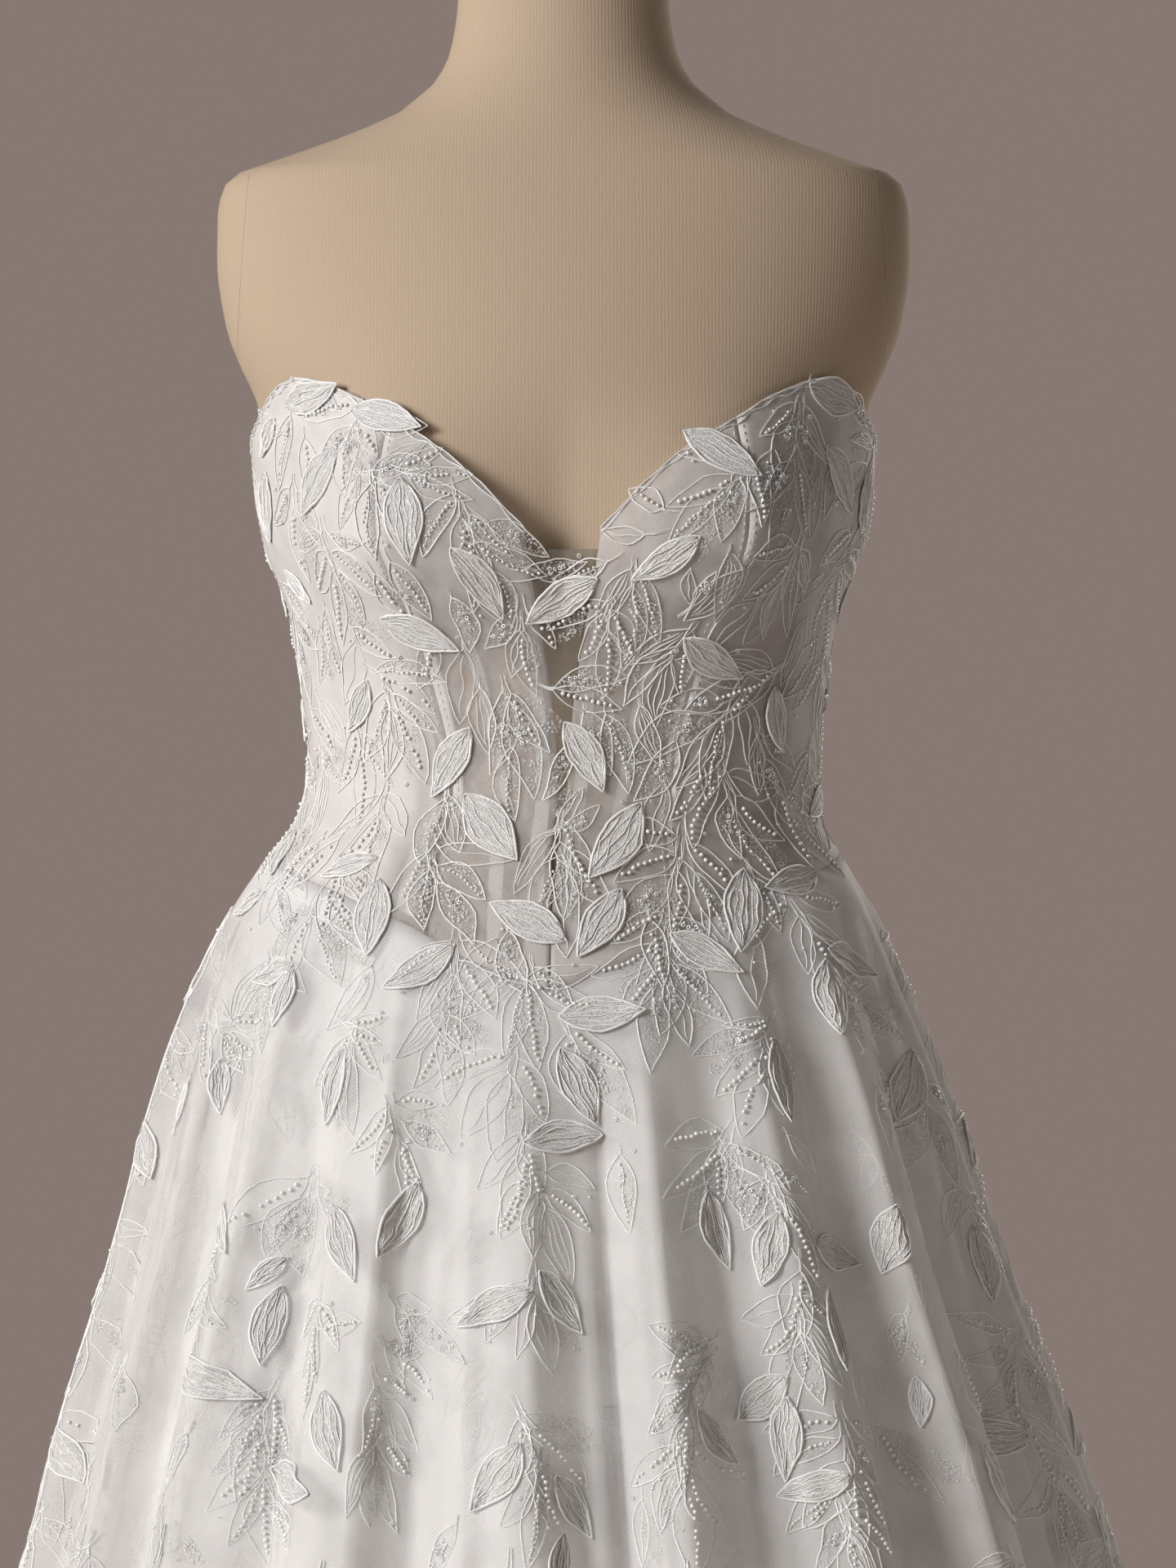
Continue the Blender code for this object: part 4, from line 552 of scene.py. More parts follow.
def netMaterial(name, values):
    # net on what lies under it: attribute "cover" is how much one layer hides
    material, tree, shader = newMaterial(name, Roughness=0.7, Sheen_Weight=0.2, Sheen_Roughness=0.4)
    uv = uvOf(tree)
    cover = addNode(tree, "ShaderNodeAttribute", attribute_name="cover").outputs["Fac"]
    scale = (1 / values["pitch"], 1 / values["pitch"], 1)
    place = addNode(tree, "ShaderNodeMapping", {
        "Vector": uv, "Rotation": (0, 0, values["slant"]), "Scale": scale}).outputs[0]
    cells = addNode(tree, "ShaderNodeTexVoronoi", {"Vector": place, "Scale": 1.0, "Randomness": 0.10},
                    feature="DISTANCE_TO_EDGE", voronoi_dimensions="2D").outputs["Distance"]
    lines = ramp(tree, cells, values["thread"], values["thread"] * 0.5)
    cloudy = noise(tree, uv, values["patches"], 5.0)
    paint(tree, shader, cloudy, values["shade"], values["light"])
    # threads are thicker than the mean cover and holes thinner
    swing = mathNode(tree, "MULTIPLY", cover, mathNode(tree, "SUBTRACT", 1.0, cover))
    uneven = weighted(tree, (mathNode(tree, "SUBTRACT", lines, values["lineMean"]), values["lineShare"]),
                      (mathNode(tree, "SUBTRACT", cloudy, 0.5), values["patchShare"]))
    total = mathNode(tree, "ADD", cover, mathNode(tree, "MULTIPLY", swing, uneven), clamp=True)
    bumpInto(tree, shader, lines, 0.2, 0.0003)
    seeThrough(tree, shader, total)
    return material


def satinMaterial(name, values):
    material, tree, shader = newMaterial(
        name, Roughness=values["roughness"], Sheen_Weight=0.25, Sheen_Roughness=0.35)
    uv = uvOf(tree)
    threads = noise(tree, uv, 1.0, 2.0, (1600, 260, 1))
    tone = weighted(tree, (threads, 0.4), (noise(tree, uv, 9.0, 3.0), 0.6))
    paint(tree, shader, tone, values["shade"], values["light"])
    bumpInto(tree, shader, threads, 0.15, 0.0003)
    return material


def threadMaterial(name, values):
    # twisted thread, uneven in tone along its run
    material, tree, shader = newMaterial(
        name, Roughness=values["roughness"], Sheen_Weight=0.3, Sheen_Roughness=0.3)
    coords = placeOf(tree)
    fine = noise(tree, coords, values["scale"], 3.0)
    tone = weighted(tree, (fine, 0.6), (noise(tree, coords, 40.0), 0.4))
    paint(tree, shader, tone, values["shade"], values["light"])
    bumpInto(tree, shader, fine, values["bump"], 0.0008)
    return material


def stitchMaterial(name, values):
    # close rows of thread filling a leaf; UV runs along the leaf and across it, in metres
    material, tree, shader = newMaterial(name, Roughness=0.55, Sheen_Weight=0.3, Sheen_Roughness=0.3)
    uv = uvOf(tree)
    strands = noise(tree, uv, 1.0, 3.0, (300, 1700, 1), 0.9)
    knots = addNode(tree, "ShaderNodeTexVoronoi", {"Vector": uv, "Scale": values["knotScale"]},
                    voronoi_dimensions="2D").outputs["Distance"]
    height = weighted(tree, (ramp(tree, strands, 0.40, 0.60), 1.0), (ramp(tree, knots, 0.75, 0.15), 0.6))
    # the colour follows the bump height, darker where strands and knots sit low: painted shade in the gaps
    # between stitches, partly the greyer net showing between them
    paint(tree, shader, ramp(tree, height, 0.10, 1.15), values["shade"], values["light"])
    bumpInto(tree, shader, height, values["bump"], 0.0008)
    return material


def seedMaterial(name, values):
    # small seed stitches with net showing between them
    material, tree, shader = newMaterial(name, Roughness=0.55, Sheen_Weight=0.3)
    coords = placeOf(tree)
    cells = addNode(tree, "ShaderNodeTexVoronoi", {"Vector": coords, "Scale": values["scale"]})
    loose = ramp(tree, noise(tree, coords, 160.0), 0.30, 0.62)
    seeds = mathNode(tree, "MULTIPLY", ramp(tree, cells.outputs["Distance"], 0.66, 0.34), loose)
    paint(tree, shader, seeds, values["shade"], values["light"])
    bumpInto(tree, shader, seeds, 0.9, 0.0012)
    seeThrough(tree, shader, mathNode(tree, "MULTIPLY", seeds, values["strength"], clamp=True))
    return material


def speckled(name, scale, shade, light, **values):
    material, tree, shader = newMaterial(name, **values)
    paint(tree, shader, noise(tree, placeOf(tree), scale, 2.0), shade, light)
    return material


def steelMaterial(name, values):
    material, tree, shader = newMaterial(name, Roughness=0.34, Metallic=1.0)
    brushed = noise(tree, placeOf(tree), 1.0, 4.0, (300, 300, 20))
    paint(tree, shader, brushed, values["shade"], values["light"])
    bumpInto(tree, shader, brushed, 0.05, 0.0005)
    return material


def ivory(level, warm=0.02):
    return (level, level * (1 - warm), level * (1 - 2 * warm), 1)


netSlant = math.radians(42)
materials = {
    "jersey": jerseyMaterial("beige ribbed jersey", {
        "ribPitch": 0.0010, "sheen": (1.0, 0.93, 0.84, 1),
        "shade": (0.475, 0.36, 0.255, 1), "light": (0.568, 0.445, 0.333, 1)}),
    "bodiceNet": netMaterial("bodice net over lining", {
        "pitch": 0.0011, "slant": netSlant, "thread": 0.20, "lineMean": 0.35, "lineShare": 1.1,
        "patchShare": 1.6, "patches": 60.0,
        "shade": (0.64, 0.605, 0.595, 1), "light": (0.80, 0.765, 0.755, 1)}),
    "skirtTulle": netMaterial("soft skirt tulle", {
        "pitch": 0.0013, "slant": netSlant, "thread": 0.20, "lineMean": 0.35, "lineShare": 0.7,
        "patchShare": 0.9, "patches": 26.0,
        "shade": (0.84, 0.82, 0.815, 1), "light": (0.94, 0.92, 0.915, 1)}),
    # the plunge mesh is tan; its dark brown colours are painted shade of the recess behind it
    "insertMeshPaintedShade": netMaterial("sheer plunge mesh with painted shade", {
        "pitch": 0.0012, "slant": netSlant, "thread": 0.22, "lineMean": 0.35, "lineShare": 1.9,
        "patchShare": 0.2, "patches": 26.0,
        "shade": (0.22, 0.18, 0.145, 1), "light": (0.34, 0.29, 0.24, 1)}),
    "satin": satinMaterial("white satin", {
        "roughness": 0.42, "shade": ivory(0.84, 0.012), "light": ivory(0.93, 0.012)}),
    "channel": satinMaterial("smooth boning channel", {
        "roughness": 0.5, "shade": ivory(0.80), "light": ivory(0.90)}),
    "cord": threadMaterial("ivory embroidery cord", {
        "roughness": 0.5, "scale": 900.0, "bump": 0.4,
        "shade": ivory(0.90, 0.01), "light": ivory(0.98, 0.008)}),
    # the shade colour marks where the stitches sit low: painted gap shade, partly net between the stitches
    "leafThread": stitchMaterial("ivory leaf stitching with painted gap shade", {
        "knotScale": 1250.0, "bump": 0.75, "shade": (0.74, 0.71, 0.70, 1), "light": (0.98, 0.955, 0.945, 1)}),
    "seed": seedMaterial("ivory seed stitching", {
        "scale": 640.0, "strength": 0.8, "shade": ivory(0.80), "light": ivory(0.94)}),
    "bead": speckled("small glass beads", 260.0, (0.90, 0.885, 0.87, 1), (0.99, 0.985, 0.98, 1),
                     Roughness=0.25, Coat_Weight=0.8, Coat_Roughness=0.06),
    "sequin": speckled("clear ring sequins", 300.0, (0.94, 0.94, 0.95, 1), (1.0, 1.0, 1.0, 1),
                       Roughness=0.22, Coat_Weight=1.0, Coat_Roughness=0.08, Coat_IOR=2.0),
    "steel": steelMaterial("satin grey steel", {
        "shade": (0.20, 0.19, 0.185, 1), "light": (0.34, 0.33, 0.32, 1)}),
}
print("materials made")


# Dress form and stand

formValues = {
    "low": 0.76, "high": 1.505, "rows": 96, "sides": 120, "capX": 0.1750, "capTilt": math.radians(4),
    "blockSize": (0.06, 0.4, 0.4), "blockZ": 1.33, "gap": 0.0001, "neckSides": 96,
}
standValues = {
    "collarSides": 64, "poleRadius": 0.0125, "poleSides": 48, "baseRadius": 0.190, "baseSides": 128,
}


def loft(name, surface, zs, sides):
    # the surface's seam runs down the back, where its two edges are merged
    u = np.linspace(-math.pi, math.pi, sides + 1)
    points = surface(u[None, :], zs[:, None])
    girth = runAlong(points, 1)
    girth = girth - girth[:, [sides // 2]]
    uvs = np.stack([girth, np.broadcast_to(zs[:, None], girth.shape)], -1).reshape(-1, 2)
    ends = np.stack([np.arange(sides)[::-1], (len(zs) - 1) * (sides + 1) + np.arange(sides)])
    mesh = meshOf(name, points.reshape(-1, 3), [gridFaces(len(zs), sides + 1), ends], uvs)
    shape = bmesh.new()
    shape.from_mesh(mesh)
    bmesh.ops.remove_doubles(shape, verts=shape.verts, dist=1e-6)
    shape.to_mesh(mesh)
    shape.free()
    return mesh


def cutByBlock(thing, side, reach, keep):
    # a tilted block at the arm: the cap keeps what is inside it, and the torso the rest
    shape = bmesh.new()
    bmesh.ops.create_cube(shape, size=1)
    bmesh.ops.scale(shape, vec=formValues["blockSize"], verts=shape.verts)
    mesh = bpy.data.meshes.new("block")
    shape.to_mesh(mesh)
    shape.free()
    block = inScene("block", mesh)
    middle = formValues["capX"] - reach + formValues["blockSize"][0] / 2
    block.location = (side * middle, 0, formValues["blockZ"])
    block.rotation_euler = (0, side * -formValues["capTilt"], 0)
    cut = thing.modifiers.new("cut", "BOOLEAN")
    cut.operation = "INTERSECT" if keep else "DIFFERENCE"
    cut.object = block
    plain(thing)
    bpy.data.objects.remove(block)
    thing.data.set_sharp_from_angle(angle=math.radians(40))


def makeForm():
    zs = np.round(np.linspace(formValues["low"], formValues["high"], formValues["rows"]), 4)
    zs = np.array(sorted(set(zs) | {0.765, 1.378, 1.381}))
    mesh = loft("form-torso", formPoint, zs, formValues["sides"])
    torso = newObject("form-torso", mesh, materials["jersey"])
    for side, label in ((1, "left"), (-1, "right")):
        mesh = loft("cap", formPoint, zs, formValues["sides"])
        cap = newObject(f"form-arm-cap-{label}", mesh, materials["jersey"])
        cutByBlock(cap, side, 0.0, True)
        cutByBlock(torso, side, formValues["gap"], False)
        asPiece(cap, f"form_arm_cap_{label}")
    asPiece(torso, "form_torso")


def makeNeckCap():
    # a thin plate on the neck, rounded at its top edge
    halfWidth, front, back = (formSections[name][0] for name in ("halfWidth", "front", "back"))
    zs = formSections["z"][0] + 0.0003 + np.array([0.0, 0.0055, 0.0072, 0.0078, 0.0080])
    share = 1 - np.array([0.0, 0.0, 0.03, 0.09, 0.16])[:, None]
    sides = formValues["neckSides"]
    u = np.linspace(0, 2 * math.pi, sides, endpoint=False)
    depth = (back - front) / 2 - (back + front) / 2 * share * np.cos(u)
    points = np.stack([halfWidth * share * np.sin(u), depth, zs[:, None] + 0 * u], -1).reshape(-1, 3)
    faces = [gridFaces(len(zs), sides, closed=True), endFaces(len(zs), sides)]
    mesh = meshOf("form-neck-cap", points, faces, points[:, :2])
    cap = newObject("form-neck-cap", mesh, materials["jersey"])
    cap.data.set_sharp_from_angle(angle=math.radians(35))
    asPiece(cap, "form_neck_cap")


def roundPart(node, profile, sides):
    # profile is [(radius, z)] from the bottom up
    turn = np.linspace(0, 2 * math.pi, sides, endpoint=False)
    points = [(r * math.cos(a), r * math.sin(a), z) for r, z in profile for a in turn]
    faces = [gridFaces(len(profile), sides, closed=True), endFaces(len(profile), sides)]
    name = node.replace("_", "-")
    thing = newObject(name, meshOf(name, points, faces), materials["steel"])
    thing.data.set_sharp_from_angle(angle=math.radians(40))
    asPiece(thing, node)


def makeStand():
    low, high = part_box("stand_collar")
    profile = [(0.033, low.z), (0.035, low.z + 0.002), (0.035, high.z - 0.001), (0.034, high.z)]
    roundPart("stand_collar", profile, standValues["collarSides"])
    low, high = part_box("stand_pole")
    profile = [(standValues["poleRadius"], z) for z in (low.z, high.z)]
    roundPart("stand_pole", profile, standValues["poleSides"])
    high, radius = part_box("stand_base")[1], standValues["baseRadius"]
    profile = [(radius - 0.002, 0.0), (radius, 0.0015), (radius, high.z - 0.004),
               (radius - 0.0015, high.z - 0.0012), (radius - 0.004, high.z)]
    roundPart("stand_base", profile, standValues["baseSides"])


makeForm()
makeNeckCap()
makeStand()
print("form and stand made")


# Skirts and bodice

skirtValues = {
    "hemZ": 0.018, "side": math.radians(100), "steps": 400, "rows": 44, "thickness": 0.0007, "gap": 0.0003,
    "cover": 0.34, "coverTop": 0.82, "underHemZ": 0.030, "underSteps": 200, "underRows": 40,
    "underThickness": 0.0012,
}
bodiceValues = {
    "thickness": 0.0012, "gap": 0.00008, "rows": 48, "columns": 26, "opaque": 0.93, "cupSheer": 0.52,
    "waistSheer": 0.30, "rim": 0.62, "low": 0.64, "channel": 0.86,
}
insertValues = {"low": 1.030, "top": 1.166, "rows": 40, "columns": 15, "thickness": 0.0005, "cover": 0.34}


def makeCloth(node, grid, surface, thickness, material, cover=None):
    # grid is [row, column, (u, z)], rows from low to high; the UV map is metres along the cloth
    name = node.replace("_", "-")
    points = surface(grid[..., 0], grid[..., 1])
    across = runAlong(points, 1)
    across = across - across[:, [int(np.argmin(np.abs(grid[0, :, 0])))]]
    uvs = np.stack([across, runAlong(points, 0)], -1).reshape(-1, 2)
    mesh = meshOf(name, points.reshape(-1, 3), [gridFaces(*grid.shape[:2])], uvs)
    if cover is not None:
        setAttribute(mesh, "cover", np.ravel(cover))
    thing = newObject(name, mesh, materials[material])
    wall = thing.modifiers.new("wall", "SOLIDIFY")
    wall.thickness = thickness
    wall.offset = -1
    asPiece(plain(thing), node)


def skirtGrid(start, end, hemZ, rows, steps, lift):
    u = np.linspace(start, end, max(8, round(steps * (end - start) / (2 * math.pi))))
    top = seamZ(np.abs(u)) - lift
    share = np.linspace(1, 0, rows) ** 1.25
    z = top[None, :] + (hemZ - top[None, :]) * share[:, None]
    return np.stack([np.broadcast_to(u, z.shape), z], -1)


def makeSkirts():
    side, gap = skirtValues["side"], skirtValues["gap"]
    edge = gap / 2 / 0.16  # the gap as an angle, where the skirt is narrow
    panels = (("front", -side, side), ("back_left", side, math.pi), ("back_right", -math.pi, -side))
    for label, start, end in panels:
        grid = skirtGrid(start + edge, end - edge, skirtValues["hemZ"], skirtValues["rows"],
                         skirtValues["steps"], gap / 2)
        around = np.abs(grid[..., 0])
        drop = seamZ(around) - grid[..., 1]
        top = skirtValues["coverTop"] * smooth(drop, 0.060, 0.005) * smooth(around, 0.5, 0.8)
        makeCloth(f"skirt_{label}", grid, garmentPoint, skirtValues["thickness"], "skirtTulle",
                  np.maximum(skirtValues["cover"], top))
        grid = skirtGrid(start + edge, end - edge, skirtValues["underHemZ"], skirtValues["underRows"],
                         skirtValues["underSteps"], gap)
        thickness = skirtValues["underThickness"]
        makeCloth(f"underskirt_{label}", grid, underskirtPoint, thickness, "satin")


def bodiceCover(u, z):
    # opaque sides and outer cups, a thinner cup beside the plunge, and a sheer front under the bust
    degrees = np.degrees(u)
    sheer = smooth(degrees, -37, -28) * smooth(degrees, 63, 54)
    cup = bodiceValues["cupSheer"] - bodiceValues["waistSheer"]
    inner = bodiceValues["waistSheer"] + cup * smooth(z, 1.10, 1.16)
    cover = bodiceValues["opaque"] + (inner - bodiceValues["opaque"]) * sheer
    edge = necklineZ(np.abs(u))
    rim = smooth(z, edge - 0.020, edge - 0.010) * smooth(np.abs(degrees), 18, 26)
    cover = np.maximum(cover, bodiceValues["rim"] * rim)
    strip = smooth(np.abs(np.abs(u) - princessSeam(z)) * garmentCurves[0](z), 0.0065, 0.0050)
    cover = np.maximum(cover, bodiceValues["channel"] * strip * smooth(z, 1.00, 1.04))
    return np.maximum(cover, bodiceValues["low"] * smooth(z, 0.968, 0.950))


def meeting(seam, edge, z, lift=0.0):
    # the height where an upright seam meets a level edge
    for _ in range(40):
        z = float(edge(float(seam(z)))) + lift
    return z


def panelGrid(inner, outer, rows, columns):
    # grid of (u, z) between two upright seams, from the waist seam to the neckline
    gap = lift = bodiceValues["gap"] / 2
    v = np.linspace(0, 1, rows)
    edges = []
    for seam, sign in ((inner, 1), (outer, -1)):
        if seam is None:
            low, high = float(seamZ(0.0)) + lift, neckline["z"][0]
            z = low + (high - low) * v
            u = (plungeGap(z) + gap) / garmentCurves[0](z)
        else:
            low, high = meeting(seam, seamZ, 1.0, lift), meeting(seam, necklineZ, 1.2)
            z = low + (high - low) * v
            u = seam(z) + sign * gap / garmentCurves[0](z)
        edges.append(np.stack([u, z], -1))
    h = np.linspace(0, 1, columns)
    grid = edges[0][:, None] * (1 - h)[None, :, None] + edges[1][:, None] * h[None, :, None]
    bottom = seamZ(grid[0, :, 0]) + lift - grid[0, :, 1]
    top = necklineZ(grid[-1, :, 0]) - grid[-1, :, 1]
    bottom = bottom - (bottom[0] * (1 - h) + bottom[-1] * h)
    top = top - (top[0] * (1 - h) + top[-1] * h)
    grid[..., 1] += bottom[None, :] * (1 - v)[:, None] + top[None, :] * v[:, None]
    return grid


def makeBodice():
    panels = (("centre_front", None, princessSeam), ("side_front", princessSeam, sideSeamAt),
              ("side_back", sideSeamAt, backSeam), ("back", backSeam, centreBackSeam))
    for name, inner, outer in panels:
        left = panelGrid(inner, outer, bodiceValues["rows"], bodiceValues["columns"])
        right = (left * np.array([-1, 1]))[:, ::-1]
        for label, grid in (("left", left), ("right", right)):
            makeCloth(f"bodice_{name}_{label}", grid, garmentPoint, bodiceValues["thickness"], "bodiceNet",
                      bodiceCover(grid[..., 0], grid[..., 1]))


def makeInsert():
    z = np.linspace(insertValues["low"], insertValues["top"], insertValues["rows"])[:, None]
    half = (plungeGap(z) - bodiceValues["gap"] / 2) / garmentCurves[0](z)
    u = half * np.linspace(-1, 1, insertValues["columns"])[None, :]
    grid = np.stack([u, z + 0 * u], -1)
    makeCloth("plunge_insert", grid, garmentPoint, insertValues["thickness"], "insertMeshPaintedShade",
              np.full(u.shape, insertValues["cover"]))


def makeBones():
    for node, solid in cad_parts.items():
        if node.startswith("bone_"):
            bone = newObject(node.replace("_", "-"), solid.data.copy(), materials["channel"])
            bone.data.shade_smooth()
            asPiece(bone, node)


makeSkirts()
makeBodice()
makeInsert()
makeBones()
print("skirts and bodice made")


# Leaf lace: a leaf is a row of one table, kept as columns

laceValues = {
    "seed": 7, "gap": 0.003, "bodiceLeaf": (0.034, 0.015), "bodiceStation": 0.034,
    "skirtLeaf": (0.038, 0.017), "skirtStation": 0.087, "skirtVineStart": 0.030,
    "leafAngle": math.radians(38), "frontBodice": math.radians(70), "frontSkirt": math.radians(76),
    "frontBottom": 0.62, "vineFront": math.radians(80),
    "cordRadius": 0.00050, "innerRadius": 0.00040, "rimRadius": 0.00075, "veinRadius": 0.00034,
    "tail": 0.007, "wobble": 0.00045, "cordLift": 0.0003, "padThickness": 0.0006, "padLift": 0.0006,
    "leafStep": math.radians(25), "stagger": 0.009, "sunkShare": 0.75, "sunk": 0.0030,
    # where the front shows its finest work, and how open the lace may stay there, in metres
    "fineAngle": math.radians(82), "fineBottom": 0.57, "bodiceClear": 0.0078, "skirtClear": 0.0130,
    "skirtBed": 0.00025, "tipPast": 0.0065, "edgePast": 0.0010,
}
spotValues = {"bead": 0.00125, "smallBead": 0.0009, "sequin": 0.00130, "sequinPitch": 0.0026}
leafKinds = ("beaded", "halfSeeded", "sequinned", "veined", "open")
kindShares = (0.34, 0.22, 0.20, 0.13, 0.11)
leafHexagon = ((0.0, 0.30, 0.68, 1.0, 0.68, 0.30), (0.0, 1.0, 0.80, 0.0, -0.80, -1.0))
chance = np.random.RandomState(laceValues["seed"])


def metricAt(u, z):
    step = 1e-3
    across = np.linalg.norm(garmentPoint(u + step, z) - garmentPoint(u - step, z), axis=-1) / (2 * step)
    down = np.linalg.norm(garmentPoint(u, z + step) - garmentPoint(u, z - step), axis=-1) / (2 * step)
    return across, down


def leavesOf(u, z, turn, length, width, **more):
    # offset is from the node to the leaf's foot; tail is the heading of the stem that it grew from
    leaves = {"u": u, "z": z, "turn": turn, "length": length, "width": width}
    leaves = {name: np.asarray(values, float) + np.zeros(len(u)) for name, values in leaves.items()}
    leaves["across"], leaves["down"] = metricAt(leaves["u"], leaves["z"])
    for name in ("bend", "lift", "offset", "tail", "slip", "kind", "sunk"):
        leaves[name] = np.asarray(more.get(name, 0.0), float) + np.zeros(len(u))
    return leaves


def some(leaves, chosen):
    return {name: values[chosen] for name, values in leaves.items()}


def together(tables):
    return {name: np.concatenate([t[name] for t in tables]) for name in tables[0]}


def onCloth(leaves, right, fall):
    # metres to the right of the leaf's node and down from it, [leaf, point]
    shape = (-1,) + (1,) * (np.ndim(right) - 1)
    return (leaves["u"].reshape(shape) + right / leaves["across"].reshape(shape),
            leaves["z"].reshape(shape) - fall / leaves["down"].reshape(shape))


def inLeaf(leaves, along, aside):
    # metres right and down of a place in the leaf: along is 0 to 1, aside is in half widths
    shape = (-1,) + (1,) * (np.ndim(along) - 1)
    column = {name: values.reshape(shape) for name, values in leaves.items()}
    forward = column["offset"] + along * column["length"]
    curve = column["bend"] * column["length"] * np.sin(math.pi * np.clip(along, 0, 1))
    side = aside * column["width"] / 2 + curve
    sine, cosine = np.sin(column["turn"]), np.cos(column["turn"])
    return forward * sine + side * cosine, forward * cosine - side * sine


def placesIn(leaves, along, aside):
    return onCloth(leaves, *inLeaf(leaves, along, aside))


def vineLeaves(path, station, size, phase, start):
    run = runAlong(garmentPoint(path[:, 0], path[:, 1]))
    at = np.arange(station * start, run[-1], station)
    u, z = np.interp(at, run, path[:, 0]), np.interp(at, run, path[:, 1])
    j = np.clip(np.searchsorted(run, at), 1, len(path) - 1)
    across, down = metricAt(u, z)
    heading = np.arctan2((path[j, 0] - path[j - 1, 0]) * across, (path[j - 1, 1] - path[j, 1]) * down)
    i = np.arange(len(at))
    side = np.where((i + phase) % 2, 1, -1)
    turn = laceValues["leafAngle"] * (0.75 + 0.5 * ((i * 0.618 + phase * 0.37) % 1.0))
    return leavesOf(u, z, heading + side * turn, *size, tail=heading, slip=side)


def vinePath(row, side, count=25):
    startDegrees, startZ, endDegrees, endZ, bow = row
    t = np.linspace(0, 1, count)
    degrees = startDegrees + (endDegrees - startDegrees) * t + bow * 4 * t * (1 - t)
    return np.stack([side * np.radians(degrees), startZ + (endZ - startZ) * t], -1)


vineRows = list(zip(*bodiceVines.values()))


def columnPath(number, degrees, top=None):
    u = math.radians(degrees)
    top = top or float(seamZ(abs(u))) - laceValues["skirtVineStart"]
    z = np.linspace(top, skirtValues["hemZ"] + 0.06, 60)
    return np.stack([u + np.radians(1.6) * np.sin(8 * (top - z) + number), z], -1)


def apart(a, b, gap):
    for outline in (a, b):
        edge = np.roll(outline, -1, axis=0) - outline
        across = np.stack([edge[:, 1], -edge[:, 0]], -1) / np.linalg.norm(edge, axis=1, keepdims=True)
        ofA, ofB = a @ across.T, b @ across.T
        if max((ofA.min(0) - ofB.max(0)).max(), (ofB.min(0) - ofA.max(0)).max()) > gap:
            return True
    return False


def spaced(leaves, always=0):
    # leaves in order, each kept only where it is clear of those before it
    shapes = np.stack(placesIn(leaves, *(np.array([row]) for row in leafHexagon)), -1)
    u, z, kept = leaves["u"], leaves["z"], []
    for i in range(len(u)):
        scale = np.array([leaves["across"][i], 1.0])
        near = [k for k in kept if abs(z[k] - z[i]) < 0.12 and abs(u[k] - u[i]) * scale[0] < 0.12]
        if i < always or all(apart(shapes[i] * scale, shapes[k] * scale, laceValues["gap"]) for k in near):
            kept.append(i)
    return some(leaves, kept)


def frontRaised(bodice):
    rows = raisedTable
    u = np.radians(rows["degrees"])
    leaves = leavesOf(u, rows["z"], np.radians(rows["turn"]), rows["length"], rows["width"],
                      tail=np.radians(rows["turn"]) * 0.4)
    onBodice = rows["z"] > seamZ(np.abs(u))
    return some(leaves, onBodice if bodice else ~onBodice)


def raisedLeaves():
    bodice, skirt = [], []
    station, size = laceValues["bodiceStation"], laceValues["bodiceLeaf"]
    for number, row in enumerate(vineRows):
        for side, start in ((1, 0.4), (-1, 0.8)):
            bodice.append(vineLeaves(vinePath(row, side), station, size, number + (side > 0), start))
    station, size = laceValues["skirtStation"], laceValues["skirtLeaf"]
    for number, degrees in enumerate(foldTable["crest"]):
        start = 0.15 + 0.3 * (number % 3)
        skirt.append(vineLeaves(columnPath(number, degrees), station, size, number, start))
    bodice, skirt = together(bodice), together(skirt)
    bodice = some(bodice, np.abs(bodice["u"]) > laceValues["frontBodice"])
    aside = np.abs(skirt["u"]) > laceValues["frontSkirt"]
    skirt = some(skirt, aside | (skirt["z"] < laceValues["frontBottom"]))
    onBodice, onSkirt = frontRaised(True), frontRaised(False)
    bodice = spaced(together([onBodice, bodice]), len(onBodice["u"]))
    skirt = spaced(together([onSkirt, skirt]), len(onSkirt["u"]))
    for leaves in (bodice, skirt):
        count = len(leaves["u"])
        leaves["bend"] = chance.uniform(-0.05, 0.05, count)
        leaves["lift"] = chance.uniform(0.0002, 0.0015, count)
    return bodice, skirt


def clothTop(u):
    # the neckline, or the insert's top edge where the plunge is
    return np.where(np.abs(u) < np.radians(6.2), insertValues["top"], necklineZ(np.abs(u)))


def trimmed(leaves, past):
    # a leaf that would reach further than this above the neckline is shortened, or left out
    share = np.zeros(len(leaves["u"]))
    along, aside = np.array([[[0.0, 0.5, 0.5, 0.8, 1.0]], [[0.0, 1.0, -1.0, 0.0, 0.0]]])
    for tried in np.arange(0.55, 1.01, 0.05):
        shorter = dict(leaves, length=leaves["length"] * tried)
        u, z = placesIn(shorter, along, aside)
        share = np.where((z - clothTop(u) < past).all(1), tried, share)
    shorter = dict(leaves, length=leaves["length"] * share, width=leaves["width"] * np.sqrt(share))
    return some(shorter, share > 0)


